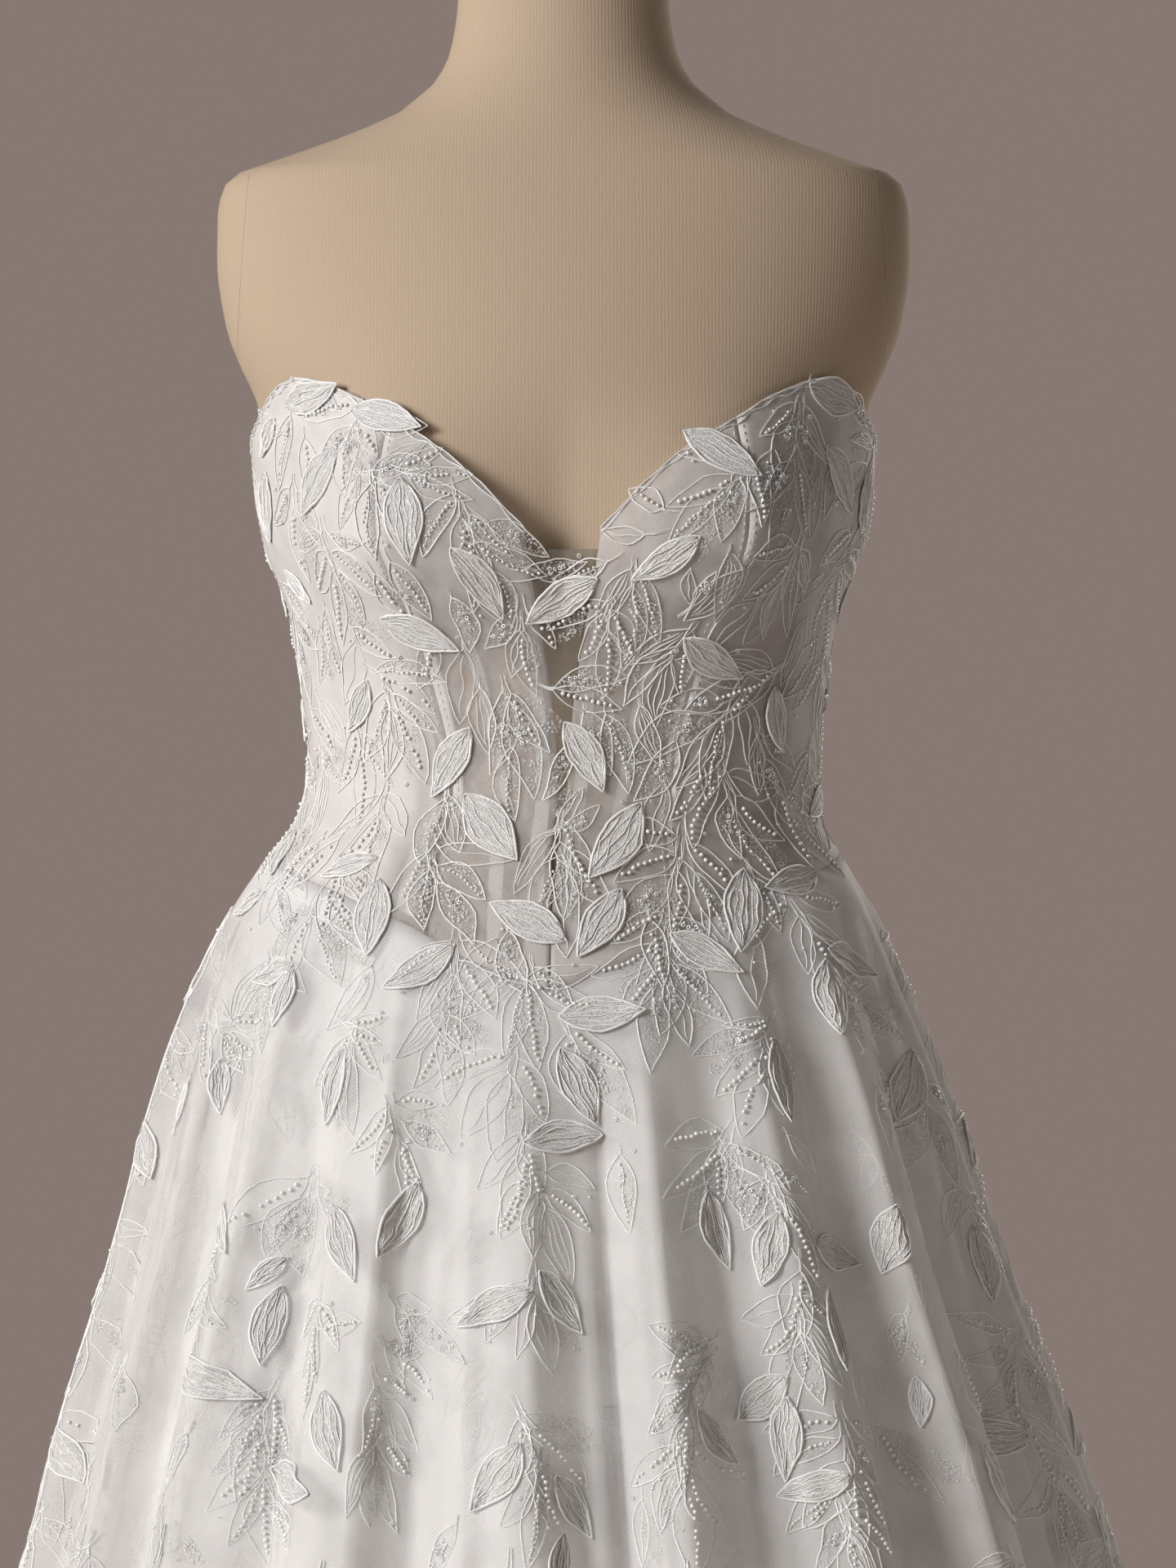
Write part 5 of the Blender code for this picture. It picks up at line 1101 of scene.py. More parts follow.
def fan(u, z, first, last, count, length):
    # leaves spread round one node, the middle ones longest
    # the outer leaves stand further up the stem
    share = np.linspace(0, 1, count) if count > 1 else np.array([0.5])
    middle, wide = (first + last) / 2, last - first
    wide = math.copysign(max(abs(wide), laceValues["leafStep"] * (count - 1)), wide)
    turn = middle + wide * (share - 0.5) + chance.uniform(-0.08, 0.08, count)
    uneven = np.where(np.arange(count) % 2, 0.82, 1.0) if count > 3 else 1.0
    length = length * (0.86 + 0.20 * np.sin(math.pi * share)) * chance.uniform(0.9, 1.12, count) * uneven
    slip, stem = np.arange(count) - (count - 1) / 2, middle * 0.7
    across, down = metricAt(u, z)
    up = laceValues["stagger"] * np.abs(slip)
    return leavesOf(
        u - up * math.sin(stem) / across, z + up * math.cos(stem) / down, turn, length,
        length * chance.uniform(0.31, 0.42, count), bend=chance.uniform(-0.10, 0.10, count),
        offset=chance.uniform(0.002, 0.007, count), tail=stem, slip=slip,
        kind=chance.choice(len(leafKinds), count, p=kindShares))


def vineFans(path, pitch, start, length, few):
    stations = vineLeaves(path, pitch, (length, 0.012), 0, start)
    made = []
    for i in range(len(stations["u"])):
        heading, side = stations["tail"][i], 1 if i % 2 else -1
        spread = chance.uniform(0.9, 1.4)
        made.append(fan(stations["u"][i], stations["z"][i], heading - side * 0.35, heading + side * spread,
                        few + chance.randint(2), length * chance.uniform(0.85, 1.1)))
    return together(made) if made else None


def flatLeaves():
    bodice, skirt = [], []
    for degrees, z, first, last, count, length in zip(*sprayTable.values()):
        u = math.radians(degrees)
        spray = fan(u, z, math.radians(first), math.radians(last), int(count), length / 1000)
        if z > float(seamZ(abs(u))):
            bodice.append(trimmed(spray, laceValues["tipPast"] if count == 1 else laceValues["edgePast"]))
        else:
            skirt.append(spray)
    for row in vineRows:
        for side in (1, -1):
            made = vineFans(vinePath(row, side), 0.030, 0.4, 0.038, 3)
            made = some(made, np.abs(made["u"]) > laceValues["vineFront"])
            bodice.append(trimmed(made, laceValues["edgePast"]))
    crests = foldTable["crest"]
    middles = (crests + np.roll(crests, -1)) / 2
    middles[-1] += 180
    for number, degrees in enumerate(crests):
        made = vineFans(columnPath(number, degrees), 0.056, 0.5, 0.044, 4)
        front = (np.abs(made["u"]) < laceValues["frontSkirt"]) & (made["z"] > 0.645)
        skirt.append(some(made, ~front))
        path = columnPath(number + 9, middles[number], 0.50 - 0.05 * (number % 3))
        skirt.append(vineFans(path, 0.066, 0.3, 0.042, 3))
    return together(bodice), together(skirt)


def isFine(leaves):
    front = np.abs(wrapped(leaves["u"])) < laceValues["fineAngle"]
    return front & (leaves["z"] > laceValues["fineBottom"])


def axisOf(leaves):
    along = np.array([[0.12, 0.5, 0.88]])
    return garmentPoint(*placesIn(leaves, along, 0 * along))


def fillers(known, bodice, tries, clear):
    # single leaves hung where the front is still open, each clear of those before it
    u = chance.uniform(-1, 1, tries) * laceValues["fineAngle"]
    low = seamZ(np.abs(u)) + 0.012 if bodice else np.full(tries, laceValues["fineBottom"])
    high = necklineZ(np.abs(u)) - 0.016 if bodice else seamZ(np.abs(u)) - 0.025
    z = low + (high - low) * chance.rand(tries)
    if bodice:
        across, down = metricAt(u, z)
        turn = np.arctan2(-u * across * 0.6, (z - 0.86) * down) + chance.uniform(-0.8, 0.8, tries)
    else:
        turn = u * 0.10 + chance.uniform(-0.75, 0.75, tries)
    length = chance.uniform(0.032, 0.046, tries)
    width = length * chance.uniform(0.33, 0.45, tries)
    bend = chance.uniform(-0.12, 0.12, tries)
    kind = chance.choice(len(leafKinds), tries, p=kindShares)
    sunk = 0 if bodice else laceValues["sunk"] * (chance.rand(tries) < laceValues["sunkShare"])
    leaves = leavesOf(u, z, turn, length, width, bend=bend, tail=turn * 0.5, kind=kind, sunk=sunk)
    leaves = trimmed(leaves, laceValues["edgePast"]) if bodice else leaves
    mine = axisOf(leaves)
    taken, kept = axisOf(known).reshape(-1, 3), []
    for i in range(len(mine)):
        gaps = np.linalg.norm(mine[i][:, None] - taken[None], axis=-1).min(1)
        if gaps.min() > clear and (bodice or gaps.min() < 0.030):
            kept.append(i)
            taken = np.concatenate([taken, mine[i]])
    return some(leaves, kept)


def leafWidth(t, sharpness=1.0):
    return np.sin(math.pi * np.clip(t, 0, 1) ** 0.86) ** sharpness


def wobbled(right, fall, size):
    # a hand-guided line is never quite smooth
    loose = chance.normal(0, size, (2,) + right.shape)
    loose[..., 1:-1] = (loose[..., :-2] + 2 * loose[..., 1:-1] + loose[..., 2:]) / 4
    loose[..., 0] = loose[..., -1] = 0
    return right + loose[0], fall + loose[1]


regionNames = ("bodice-front", "bodice-back", "skirt-front", "skirt-back-left", "skirt-back-right")


def regionOf(u, bodice):
    turned = wrapped(u)
    if bodice:
        return np.where(np.abs(turned) < math.radians(92), 0, 1)
    return np.where(np.abs(turned) < skirtValues["side"], 2, np.where(turned > 0, 3, 4))


def addCords(lace, kind, leaves, right, fall, height, radius):
    u, z = onCloth(leaves, right, fall)
    lace[kind].append((u, z, height - leaves["sunk"][:, None] + 0 * u, radius + 0 * u))


def addLeafEdges(lace, leaves, fine):
    # each edge runs on past the leaf's foot into the stem
    t = np.array([0, 0.14, 0.34, 0.58, 0.82, 1.0])
    if fine:
        t = np.array([0, 0.05, 0.13, 0.24, 0.36, 0.50, 0.64, 0.78, 0.90, 1.0])
    n = len(leaves["u"])
    stem = np.stack([np.sin(leaves["tail"]), np.cos(leaves["tail"])])[:, :, None]
    aside = np.stack([stem[1], -stem[0]])
    foot = np.stack([np.sin(leaves["turn"]), np.cos(leaves["turn"])])[:, :, None] * leaves["offset"][:, None]
    b = np.array([0.0, 0.3, 0.6, 0.85] if fine else [0.0, 0.55])
    for side in (1, -1):
        shift = aside * ((leaves["slip"] * 0.0009)[:, None] + side * 0.0004)
        long = laceValues["tail"] * (0.6 + 0.8 * ((leaves["u"] * 37 + leaves["slip"]) % 1))[:, None]
        back = -stem * long * (1 - b) ** 2 + shift * (1 - b * b) + foot * b * b
        irregular = 1 + chance.normal(0, 0.07, (n, 1))
        irregular = irregular + 0.10 * np.sin(t * chance.uniform(5, 11, (n, 1)) + side)
        right, fall = inLeaf(leaves, t[None, :], leafWidth(t, 0.95)[None, :] * side * irregular)
        right, fall = np.concatenate([back[0], right], 1), np.concatenate([back[1], fall], 1)
        right, fall = wobbled(right, fall, laceValues["wobble"])
        radius = laceValues["cordRadius"] * np.concatenate([0.3 + 0.7 * b, np.ones(len(t) - 1), [0.7]])
        addCords(lace, "cords", leaves, right, fall, laceValues["cordLift"], radius)


def addInnerLines(lace, leaves, asides, radius, wave, start=0.08, end=0.90):
    t = np.linspace(0, 1, 8)
    for place in asides:
        run = start + 0.25 * abs(place) ** 2 + (end - 0.10 * abs(place) - start - 0.25 * abs(place) ** 2) * t
        phase = chance.uniform(0, 6, (len(leaves["u"]), 1))
        wavy = place * leafWidth(run)[None, :] + wave * np.sin(run[None, :] * 12 + phase)
        right, fall = inLeaf(leaves, run[None, :], wavy)
        addCords(lace, "cords", leaves, right, fall, laceValues["cordLift"] * 0.8,
                 radius * np.array([0.5, 1, 1, 1, 1, 1, 0.9, 0.5]))


def addSpots(lace, kind, leaves, right, fall, height, size):
    u, z = onCloth(leaves, right, fall)
    keep = (size + 0 * u > 0) & (z < clothTop(u) + 0.003)
    height = height - leaves["sunk"][:, None] + 0 * u
    lace[kind].append((u[keep], z[keep], height[keep], (size + 0 * u)[keep]))


def underRaised(u, z, raised):
    # true where a place lies within one of the raised leaves
    under = np.zeros(len(u), bool)
    for i in range(len(raised["u"])):
        near = np.flatnonzero((np.abs(z - raised["z"][i]) < 0.06) & (np.abs(u - raised["u"][i]) < 0.6))
        right = (u[near] - raised["u"][i]) * raised["across"][i]
        fall = (raised["z"][i] - z[near]) * raised["down"][i]
        sine, cosine = math.sin(raised["turn"][i]), math.cos(raised["turn"][i])
        along = (right * sine + fall * cosine) / raised["length"][i]
        aside = (right * cosine - fall * sine) / (raised["width"][i] / 2)
        under[near] |= (along > 0) & (along < 1) & (np.abs(aside) < leafWidth(along) + 0.12)
    return under


def addBeadLines(lace, leaves, size, pitch):
    # a bead every pitch along the leaf's middle; short leaves take fewer
    n, most = len(leaves["u"]), int(0.055 * 0.78 / pitch)
    if n == 0:
        return
    place = (np.arange(most) + 0.5)[None, :] * pitch / (leaves["length"][:, None] * 0.78)
    along = 0.10 + 0.78 * place
    aside = 0.10 * np.sin(along * 5 + leaves["u"][:, None] * 60) + chance.normal(0, 0.05, (n, most))
    right, fall = inLeaf(leaves, along, aside)
    kept = (place < 1) & (chance.rand(n, most) > 0.06)
    sizes = np.where(kept, size * chance.uniform(0.8, 1.12, (n, most)), 0)
    addSpots(lace, "beads", leaves, right, fall, size * 0.8, sizes)


def addSequinLines(lace, leaves, most):
    # two or three uneven rows of touching rings
    n, pitch = len(leaves["u"]), spotValues["sequinPitch"]
    if n == 0:
        return
    place = (np.arange(most) // 2)[None, :] * pitch / leaves["length"][:, None]
    along = chance.uniform(0.15, 0.4, (n, 1)) + place + chance.normal(0, 0.008, (n, most))
    rows = np.where(np.arange(most) % 2, 1, -1) * (pitch * 0.55 / leaves["width"][:, None]) * 2
    right, fall = inLeaf(leaves, along, rows * chance.uniform(0.8, 1.2, (n, most)))
    sizes = np.where((along < 0.9) & (chance.rand(n, most) > 0.25), spotValues["sequin"], 0)
    addSpots(lace, "sequins", leaves, right, fall, 0.0010, sizes * chance.uniform(0.9, 1.08, (n, most)))


def addLooseSpots(lace, leaves, kind, each, size, reach):
    n = len(leaves["u"])
    along, aside = chance.uniform(-0.1, 1.1, (n, each)), chance.uniform(-reach, reach, (n, each))
    right, fall = inLeaf(leaves, along, aside)
    addSpots(lace, kind, leaves, right, fall, size * 0.8, size * chance.uniform(0.8, 1.1, (n, each)))


def addFlatLeaves(lace, leaves, fine):
    addLeafEdges(lace, leaves, fine)
    kind = leaves["kind"].astype(int)
    of = {name: some(leaves, kind == number) for number, name in enumerate(leafKinds)}
    if fine:
        addBeadLines(lace, of["beaded"], spotValues["bead"], 0.0033)
        addBeadLines(lace, of["halfSeeded"], spotValues["smallBead"], 0.0028)
        addInnerLines(lace, of["halfSeeded"], (0.12,), laceValues["innerRadius"], 0.10)
        addInnerLines(lace, of["veined"], (-0.42, 0.0, 0.42), laceValues["innerRadius"], 0.08)
        addInnerLines(lace, of["open"], (0.05,), laceValues["innerRadius"], 0.12)
        addSequinLines(lace, of["sequinned"], 8)
        addSequinLines(lace, some(of["halfSeeded"], slice(None, None, 3)), 4)
        addLooseSpots(lace, some(leaves, slice(None, None, 3)), "sequins", 1, spotValues["sequin"], 1.3)
        addLooseSpots(lace, some(leaves, slice(1, None, 3)), "beads", 1, spotValues["smallBead"], 1.1)
    else:
        addBeadLines(lace, of["beaded"], spotValues["bead"], 0.0046)
        addInnerLines(lace, of["veined"], (0.0,), laceValues["innerRadius"], 0.10)
        addSequinLines(lace, some(of["sequinned"], slice(None, None, 2)), 5)
    lace["fills"].append((of["halfSeeded"], 0.0, 1.0))
    lace["fills"].append((of["sequinned"], -1.0, 1.0))
    patches = some(leaves, slice(2, None, 5))
    patches["turn"] = patches["turn"] + chance.uniform(0.25, 0.5, len(patches["u"]))
    patches["width"] = patches["width"] * 1.3
    lace["fills"].append((trimmed(patches, laceValues["edgePast"]), -0.9, 0.9))


def addStems(lace, path):
    fine = np.linspace(0, len(path) - 1, len(path) * 2)
    u = np.interp(fine, np.arange(len(path)), path[:, 0])
    z = np.interp(fine, np.arange(len(path)), path[:, 1])
    across = metricAt(u, z)[0]
    for shift, phase in ((0.0010, 0.0), (-0.0010, 1.7)):
        aside = (shift + 0.0007 * np.sin(np.arange(len(u)) * 0.9 + phase)) / across
        radius = np.full(len(u), laceValues["cordRadius"] * 0.9)
        lace["stems"].append(((u + aside)[None], z[None], np.full((1, len(u)), 0.0004), radius[None]))


def edgeCord(u, z, lift, radius):
    along = np.arange(len(u))
    height = lift + 0.0003 * np.sin(along * 1.3)
    return u[None], z[None], height[None], (radius * (1 + 0.12 * np.sin(along * 0.8)))[None]


def addEdges(bodiceLace):
    # wavy cords along the neckline
    u = np.linspace(math.radians(neckline["degrees"][0]), math.radians(92), 130)
    back = np.linspace(math.radians(92), math.pi, 70)
    for side in (1, -1):
        for part, run in ((0, u), (1, back)):
            for drop, wave in ((0.0010, 0.0004), (0.0034, 0.0010)):
                z = necklineZ(run) - drop + wave * np.sin(np.arange(len(run)) * 0.7 + drop * 900)
                bodiceLace[part]["stems"].append(edgeCord(side * run, z, 0.0004, laceValues["cordRadius"]))


def raisedHeight(leaves, along, aside):
    lift = leaves["lift"].reshape((-1,) + (1,) * (np.ndim(aside) - 1))
    run = np.clip(along, 0, 1)
    edge = 0.0010 * np.abs(aside) ** 2 * (1 - run)
    return laceValues["padLift"] + lift * run ** 1.7 + edge + 0.0004 * np.cos(aside * 9 + lift * 900)


def addRaisedCords(lace, leaves, fine):
    n = len(leaves["u"])
    rimPoints, veinPoints = (14, 9) if fine else (8, 6)
    t = np.linspace(0, 1, rimPoints)
    for side in (1, -1):
        irregular = 1 + chance.normal(0, 0.022, (n, rimPoints))
        aside = leafWidth(t)[None, :] * side * irregular
        right, fall = inLeaf(leaves, t[None, :], aside)
        addCords(lace, "rims", leaves, right, fall, raisedHeight(leaves, t[None, :], aside) - 0.0001,
                 laceValues["rimRadius"] * np.concatenate([[0.7], np.ones(rimPoints - 2), [0.6]]))
    t = np.linspace(0, 1, veinPoints)
    for place in (-0.72, -0.42, -0.12, 0.16, 0.45, 0.74) if fine else (-0.5, 0.0, 0.5):
        begin = 0.03 + 0.24 * abs(place) ** 1.5
        run = begin + (0.95 - 0.14 * abs(place) - begin) * t
        phase = chance.uniform(0, 6, (n, 1))
        wavy = place * leafWidth(run)[None, :] + 0.075 * np.sin(run[None, :] * 15 + phase)
        wavy = wavy + chance.normal(0, 0.03, (n, veinPoints))
        right, fall = inLeaf(leaves, run[None, :], wavy)
        addCords(lace, "rims", leaves, right, fall, raisedHeight(leaves, run[None, :], wavy) + 0.0002,
                 laceValues["veinRadius"] * np.concatenate([[0.5], np.ones(veinPoints - 2), [0.4]]))


def layLace():
    laces = [{"cords": [], "stems": [], "rims": [], "beads": [], "sequins": [], "fills": [], "raised": []}
             for _ in regionNames]
    for bodice, raised, flat in zip((True, False), raisedLeaves(), flatLeaves()):
        tries, clear = (2600, laceValues["bodiceClear"]) if bodice else (3200, laceValues["skirtClear"])
        more = fillers(together([raised, flat]), bodice, tries, clear)
        counts = [len(leaves["u"]) for leaves in (raised, flat, more)]
        print("bodice" if bodice else "skirt", "leaves: {} raised, {} flat, {} between".format(*counts))
        flat = together([flat, more])
        flat["sunk"] = flat["sunk"] + (0 if bodice else laceValues["skirtBed"])
        for number, lace in enumerate(laces):
            for fine in (True, False):
                mine = some(flat, (regionOf(flat["u"], bodice) == number) & (isFine(flat) == fine))
                if len(mine["u"]):
                    addFlatLeaves(lace, mine, fine)
                mine = some(raised, (regionOf(raised["u"], bodice) == number) & (isFine(raised) == fine))
                if len(mine["u"]):
                    lace["raised"].append((mine, fine))
                    addRaisedCords(lace, mine, fine)
    for row in vineRows:
        for side in (1, -1):
            path = vinePath(row, side)
            path = path[np.abs(path[:, 0]) > laceValues["vineFront"]]
            if len(path) > 4:
                addStems(laces[int(regionOf(path[len(path) // 2, 0], True))], path)
    for number, degrees in enumerate(foldTable["crest"]):
        path = columnPath(number, degrees)
        if abs(degrees) < 76:
            path = path[path[:, 1] < 0.66]
        addStems(laces[int(regionOf(path[10, 0], False))], path)
    addEdges(laces[:2])
    return laces


# Lace made from its places

def newGroup(name, **inputs):
    # a node tree that takes and gives geometry, with an input for each named size
    group = bpy.data.node_groups.new(name, "GeometryNodeTree")
    face = group.interface
    face.new_socket("Geometry", in_out="INPUT", socket_type="NodeSocketGeometry")
    keys = [face.new_socket(key, in_out="INPUT", socket_type=kind).identifier for key, kind in inputs.items()]
    face.new_socket("Geometry", in_out="OUTPUT", socket_type="NodeSocketGeometry")
    return group, group.nodes.new("NodeGroupInput").outputs, keys

def finishGroup(group, shape, material):
    real = addNode(group, "GeometryNodeRealizeInstances", {"Geometry": shape}).outputs[0]
    soft = addNode(group, "GeometryNodeSetShadeSmooth", {"Geometry": real}).outputs[0]
    painted = addNode(group, "GeometryNodeSetMaterial", {"Geometry": soft, "Material": material}).outputs[0]
    group.links.new(painted, group.nodes.new("NodeGroupOutput").inputs[0])

def namedValue(group, name, kind="FLOAT"):
    return addNode(group, "GeometryNodeInputNamedAttribute", {"Name": name}, data_type=kind).outputs[0]

def circle(group, sides, radius):
    values = {"Resolution": sides, "Radius": radius}
    return addNode(group, "GeometryNodeCurvePrimitiveCircle", values).outputs[0]

def cordNodes(name, material):
    # sweeps a round section along every path, as thick as the path's "thick" says
    group, source, keys = newGroup(name, Thickness="NodeSocketFloat", Sides="NodeSocketInt")
    path = addNode(group, "GeometryNodeMeshToCurve", {"Mesh": source["Geometry"]}).outputs[0]
    scale = mathNode(group, "MULTIPLY", namedValue(group, "thick"), source["Thickness"])
    section = circle(group, source["Sides"], 1.0)
    swept = addNode(group, "GeometryNodeCurveToMesh", {
        "Curve": path, "Profile Curve": section, "Scale": scale, "Fill Caps": True}).outputs[0]
    finishGroup(group, swept, material)
    return group, keys

def scatterNodes(name, shape, material):
    # puts one bead, ring or stitch on every point of the mesh it is given
    group, source, keys = newGroup(name, Size="NodeSocketFloat")
    if shape == "ring":
        ring = {"Curve": circle(group, 8, 0.68), "Profile Curve": circle(group, 3, 0.34)}
        swept = addNode(group, "GeometryNodeCurveToMesh", ring).outputs[0]
        one = addNode(group, "GeometryNodeTransform", {"Geometry": swept, "Scale": (1, 1, 0.4)}).outputs[0]
    elif shape == "stitch":
        one = addNode(group, "GeometryNodeMeshCube", {"Size": (0.4, 0.4, 2.0)}).outputs[0]
    else:
        one = addNode(group, "GeometryNodeMeshIcoSphere", {"Radius": 1.0, "Subdivisions": 1}).outputs[0]
    size = mathNode(group, "MULTIPLY", namedValue(group, "grow"), source["Size"])
    place = {"Points": source["Geometry"], "Instance": one, "Scale": size}
    if shape != "bead":
        facing = namedValue(group, "facing", "FLOAT_VECTOR")
        turned = addNode(group, "FunctionNodeAlignRotationToVector", {"Vector": facing}, axis="Z")
        place["Rotation"] = turned.outputs[0]
    placed = addNode(group, "GeometryNodeInstanceOnPoints", place).outputs[0]
    finishGroup(group, placed, material)
    return group, keys

laceNodes = {
    "cord": cordNodes("cords along paths", materials["cord"]),
    "bead": scatterNodes("beads on points", "bead", materials["bead"]),
    "sequin": scatterNodes("ring sequins on points", "ring", materials["sequin"]),
    "stitch": scatterNodes("stitches on points", "stitch", materials["cord"]),
}

def fromNodes(name, mesh, kind, inputs, material):
    group, keys = laceNodes[kind]
    thing = newObject(name, mesh, material)
    worker = thing.modifiers.new("make", "NODES")
    worker.node_group = group
    for key, value in zip(keys, inputs):
        worker[key] = value
    asPiece(plain(thing))

def makeCords(name, items, sides):
    points, edges, thick, first = [], [], [], 0
    for u, z, height, radius in items:
        normals = normalsOf(garmentPoint, u, z)
        count, places = u.shape
        index = first + np.arange(count * places).reshape(count, places)
        points.append((garmentPoint(u, z) + normals * height[..., None]).reshape(-1, 3))
        edges.append(np.stack([index[:, :-1], index[:, 1:]], -1).reshape(-1, 2))
        thick.append(radius.ravel())
        first += count * places
    mesh = pointMesh(name, np.concatenate(points), np.concatenate(edges), thick=np.concatenate(thick))
    fromNodes(name, mesh, "cord", (1.0, sides), materials["cord"])


def makeFills(name, items):
    rows, columns = 7, 3
    t = np.linspace(0.05, 0.95, rows)
    points, count = [], 0
    for leaves, low, high in items:
        along, aside = np.meshgrid(t, np.linspace(low, high, columns), indexing="ij")
        n = len(leaves["u"])
        right, fall = inLeaf(leaves, np.broadcast_to(along, (n, rows, columns)),
                             np.broadcast_to(aside * leafWidth(along, 0.95) * 0.94, (n, rows, columns)))
        u, z = onCloth(leaves, right, fall)
        height = 0.0004 - leaves["sunk"][:, None, None, None]
        points.append((garmentPoint(u, z) + normalsOf(garmentPoint, u, z) * height).reshape(-1, 3))
        count += n
    faces = gridFaces(rows, columns)[None] + (np.arange(count) * rows * columns)[:, None, None]
    mesh = meshOf(name, np.concatenate(points), [faces.reshape(-1, 4)])
    asPiece(newObject(name, mesh, materials["seed"]))


def makePads(name, groups):
    # each raised leaf is a thin closed pad under its cords
    points, uvs, faces, first = [], [], [], 0
    for leaves, fine in groups:
        rows, columns = (12, 7) if fine else (8, 5)
        along, aside = np.meshgrid(np.linspace(0, 1, rows), np.linspace(-1, 1, columns), indexing="ij")
        along = np.clip(along, 0.012, 0.988)
        n, total = len(leaves["u"]), rows * columns
        across = np.broadcast_to(aside * leafWidth(along), (n, rows, columns))
        u, z = placesIn(leaves, np.broadcast_to(along, (n, rows, columns)), across)
        surface, normal = garmentPoint(u, z), normalsOf(garmentPoint, u, z)
        height = raisedHeight(leaves, along[None], np.broadcast_to(aside, across.shape))
        depths = (0.0, laceValues["padThickness"])
        layers = [surface + normal * (height - depth)[..., None] for depth in depths]
        points.append(np.stack(layers, 1).reshape(-1, 3))
        shape = (n, 1, 1)
        lengthwise = along[None] * leaves["length"].reshape(shape) + leaves["z"].reshape(shape)
        crosswise = across * leaves["width"].reshape(shape) / 2 + leaves["u"].reshape(shape)
        flat = np.stack([lengthwise, crosswise], -1)
        uvs.append(np.stack([flat, flat], 1).reshape(-1, 2))
        number = np.arange(total).reshape(rows, columns)
        border = np.concatenate([number[0], number[1:, -1], number[-1, -2::-1], number[-2:0:-1, 0]])
        following = np.roll(border, -1)
        top = gridFaces(rows, columns)
        sides = np.stack([border, following, following + total, border + total], -1)
        one = np.concatenate([top[:, ::-1], top + total, sides])
        faces.append((one[None] + (first + np.arange(n) * 2 * total)[:, None, None]).reshape(-1, 4))
        first += n * 2 * total
    mesh = meshOf(name, np.concatenate(points), [np.concatenate(faces)], np.concatenate(uvs))
    asPiece(newObject(name, mesh, materials["leafThread"]))


def makeSpots(name, items, kind, raised, tilt=0.0):
    u, z, height, size = (np.concatenate([item[k].ravel() for item in items]) for k in range(4))
    for leaves, _ in raised:
        clear = ~underRaised(u, z, leaves)
        u, z, height, size = u[clear], z[clear], height[clear], size[clear]
    normals = normalsOf(garmentPoint, u, z)
    facing = normals + chance.normal(0, tilt, normals.shape)
    mesh = pointMesh(name, garmentPoint(u, z) + normals * height[:, None], grow=size, facing=facing)
    fromNodes(name, mesh, kind, (1.0,), materials[kind])


for label, lace in zip(regionNames, layLace()):
    makeCords(f"{label}-lace-cords", lace["cords"] + lace["stems"], 3)
    makeCords(f"{label}-leaf-cords", lace["rims"], 4 if "front" in label else 3)
    makeFills(f"{label}-seed-stitching", lace["fills"])
    makePads(f"{label}-raised-leaves", lace["raised"])
    makeSpots(f"{label}-beads", lace["beads"], "bead", lace["raised"])
    makeSpots(f"{label}-sequins", lace["sequins"], "sequin", lace["raised"], 0.42)
    print("lace made", label)


# Stitching along the seams and hems

stitchValues = {
    "length": 0.0009, "reach": 0.0004, "lift": 0.0002, "pitch": 0.0044, "hemPitch": 0.009, "aside": 0.0030,
    "underWaist": 0.0035, "hemUp": 0.006, "underHemUp": 0.018,
}

def makeStitches(name, rows, pitch, surface):
    centres, facings, reach = [], [], stitchValues["reach"]
    for u, z in rows:
        points = surface(u, z)
        run = runAlong(points)
        at = np.arange(pitch / 2, run[-1] - pitch / 4, pitch)
        before, after = (np.stack([np.interp(at + shift, run, points[:, k]) for k in range(3)], -1)
                         for shift in (-reach, reach))
        normal = normalsOf(surface, np.interp(at, run, u), np.interp(at, run, z))
        centres.append((before + after) / 2 + normal * stitchValues["lift"])
        facings.append((after - before) / (2 * reach))
    centres, facings = np.concatenate(centres), np.concatenate(facings)
    size = np.full(len(centres), stitchValues["length"])
    mesh = pointMesh(name, centres, grow=size, facing=facings)
    fromNodes(name, mesh, "stitch", (1.0,), materials["cord"])

def seamRows():
    # a row on each side of every upright seam; the centre back's rows are made once
    rows = []
    v = np.linspace(0.004, 0.996, 60)
    for seam in (princessSeam, sideSeamAt, backSeam, centreBackSeam):
        low, high = meeting(seam, seamZ, 1.0), meeting(seam, necklineZ, 1.2)
        z = low + (high - low) * v
        for side in (1, -1):
            for shift in (-1, 1):
                rows.append((side * (seam(z) + shift * stitchValues["aside"] / garmentCurves[0](z)), z))
    return rows[:-2]

def waistRows():
    # round the sides and back, where the lace leaves the seam bare
    u = np.linspace(math.radians(80), math.radians(280), 300)
    return [(u, seamZ(np.minimum(u, 2 * math.pi - u)) - stitchValues["underWaist"])]

def hemRows(z):
    u = np.linspace(-math.pi, math.pi, 700)
    return [(u, np.full(len(u), z))]

hemRow = hemRows(skirtValues["hemZ"] + stitchValues["hemUp"])
underHemRow = hemRows(skirtValues["underHemZ"] + stitchValues["underHemUp"])
makeStitches("bodice-seam-stitches", seamRows(), stitchValues["pitch"], garmentPoint)
makeStitches("waist-seam-stitches", waistRows(), stitchValues["pitch"], garmentPoint)
makeStitches("skirt-hem-stitches", hemRow, stitchValues["hemPitch"], garmentPoint)
makeStitches("underskirt-hem-stitches", underHemRow, stitchValues["hemPitch"], underskirtPoint)
print("seams stitched")

# Floor, light and camera

floorValues = {"radius": 1.9, "z": -0.0005, "sides": 96, "shade": (0.50, 0.46, 0.43, 1),
               "light": (0.56, 0.52, 0.49, 1)}
worldColours = {"front": (0.070, 0.060, 0.054, 1), "behind": (0.245, 0.194, 0.172, 1)}
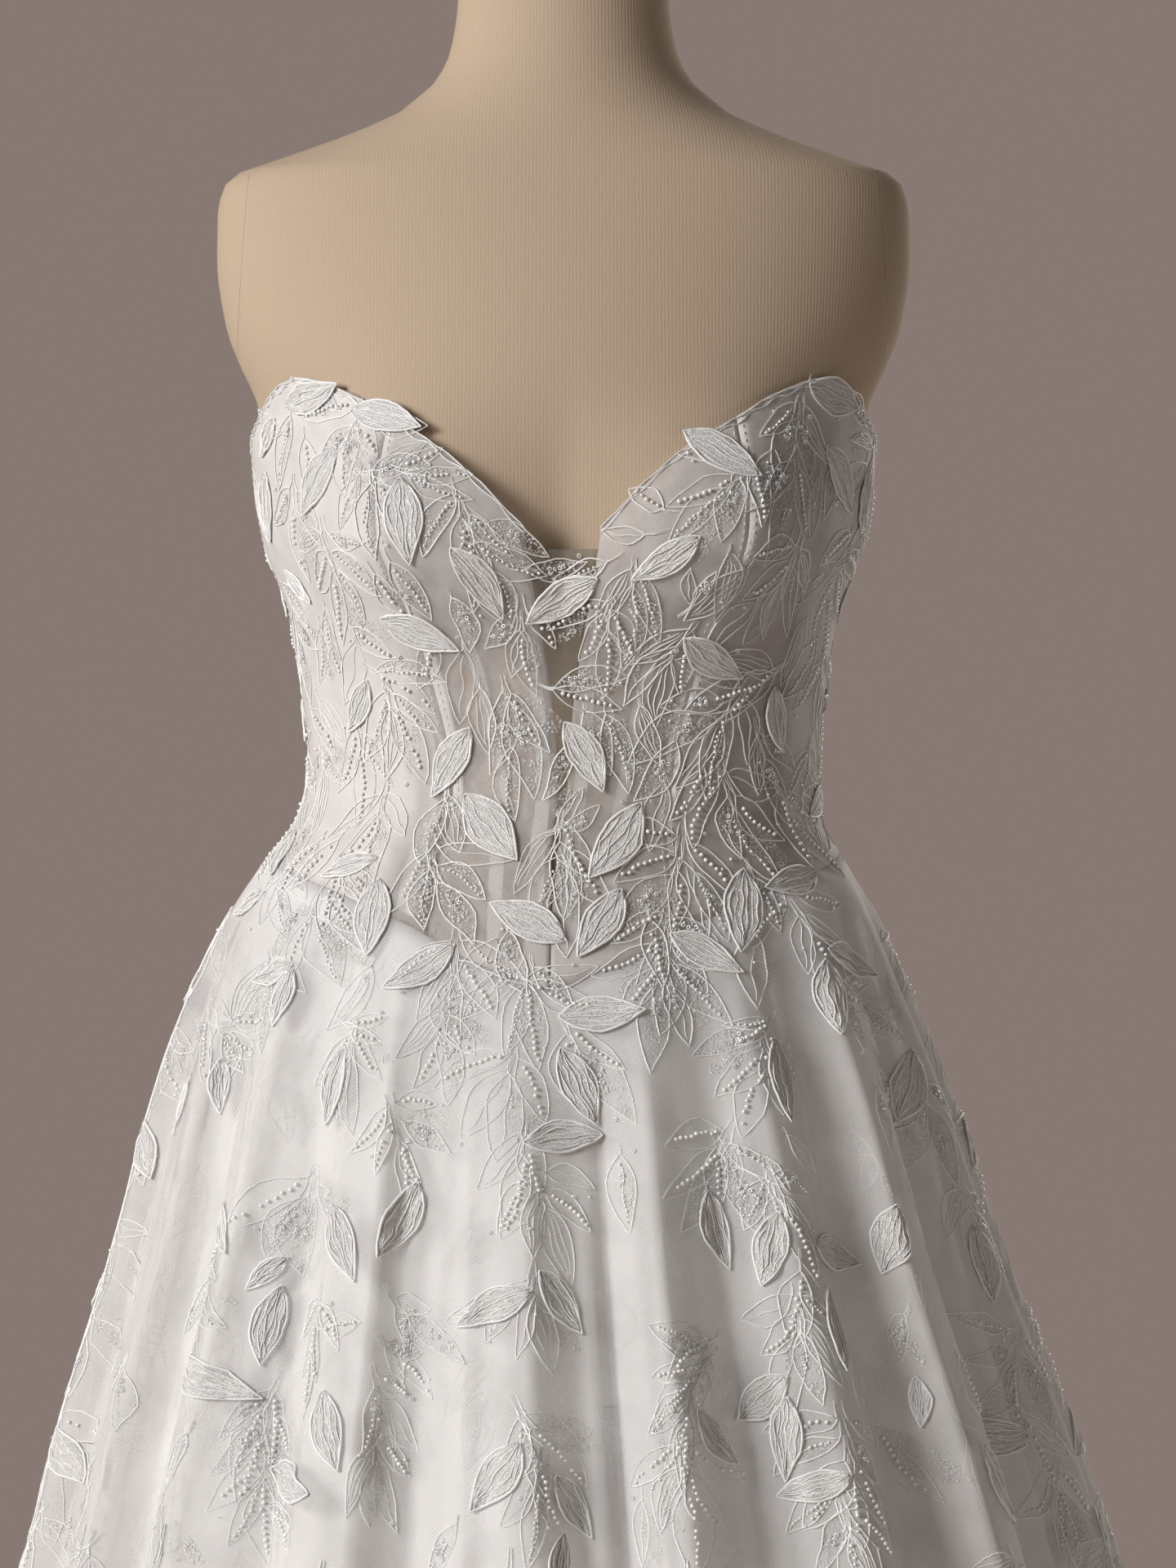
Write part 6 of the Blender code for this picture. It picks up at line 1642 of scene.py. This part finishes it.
# name, place, target, size, power, colour
lightTable = [
    ("key", (-3.75, -2.95, 2.5), (0, 0, 1.0), 1.8, 255, (1.0, 0.985, 0.965)),
    ("low fill", (2.2, -1.8, 0.35), (0.25, 0, 0.60), 1.4, 10, (1.0, 0.92, 0.85)),
    ("back", (1.8, 2.9, 2.0), (0, 0, 1.0), 1.6, 37, (1.0, 0.94, 0.89)),
]
cameraValues = {"place": (0.0135, -3.0, 1.042), "turn": (math.radians(90), 0, 0), "lens": 125}

def makeFloor():
    material, tree, shader = newMaterial("pale studio floor", Roughness=0.85)
    paint(tree, shader, noise(tree, placeOf(tree), 3.0, 4.0), floorValues["shade"], floorValues["light"])
    sides, radius = floorValues["sides"], floorValues["radius"]
    turn = np.linspace(0, 2 * math.pi, sides, endpoint=False)
    points = np.stack([radius * np.cos(turn), radius * np.sin(turn), np.full(sides, floorValues["z"])], -1)
    newObject("floor", meshOf("floor", points, [np.arange(sides)[None]]), material)

def makeLights():
    for name, place, target, size, power, colour in lightTable:
        lamp = bpy.data.lights.new(name, "AREA")
        lamp.size, lamp.energy, lamp.color = size, power, colour
        holder = inScene(name, lamp)
        holder.location = place
        holder.rotation_euler = (Vector(target) - Vector(place)).to_track_quat("-Z", "Y").to_euler()

def makeStudio():
    # the studio round the dress is taupe behind it and dimmer in front of it and on its shaded side
    world = bpy.data.worlds.new("studio")
    world.use_nodes = True
    tree = world.node_tree
    generated = addNode(tree, "ShaderNodeTexCoord").outputs["Generated"]
    way = addNode(tree, "ShaderNodeSeparateXYZ", {0: generated}).outputs
    behind = mathNode(tree, "SUBTRACT", way[1], mathNode(tree, "MULTIPLY", way[0], 0.3))
    behind = addNode(tree, "ShaderNodeMapRange", {0: behind, 1: -0.2, 2: 0.6},
                     interpolation_type="SMOOTHSTEP").outputs[0]
    tone = mixColours(tree, behind, worldColours["front"], worldColours["behind"])
    tree.links.new(tone, tree.nodes["Background"].inputs[0])
    bpy.context.scene.world = world
    bpy.context.scene.view_settings.view_transform = "Standard"

def makeCamera():
    data = bpy.data.cameras.new("camera")
    data.lens = cameraValues["lens"]
    camera = inScene("camera", data)
    camera.location = cameraValues["place"]
    camera.rotation_euler = cameraValues["turn"]
    bpy.context.scene.camera = camera

makeFloor()
makeLights()
makeStudio()
makeCamera()
print("floor, lights and camera made")

print("done")
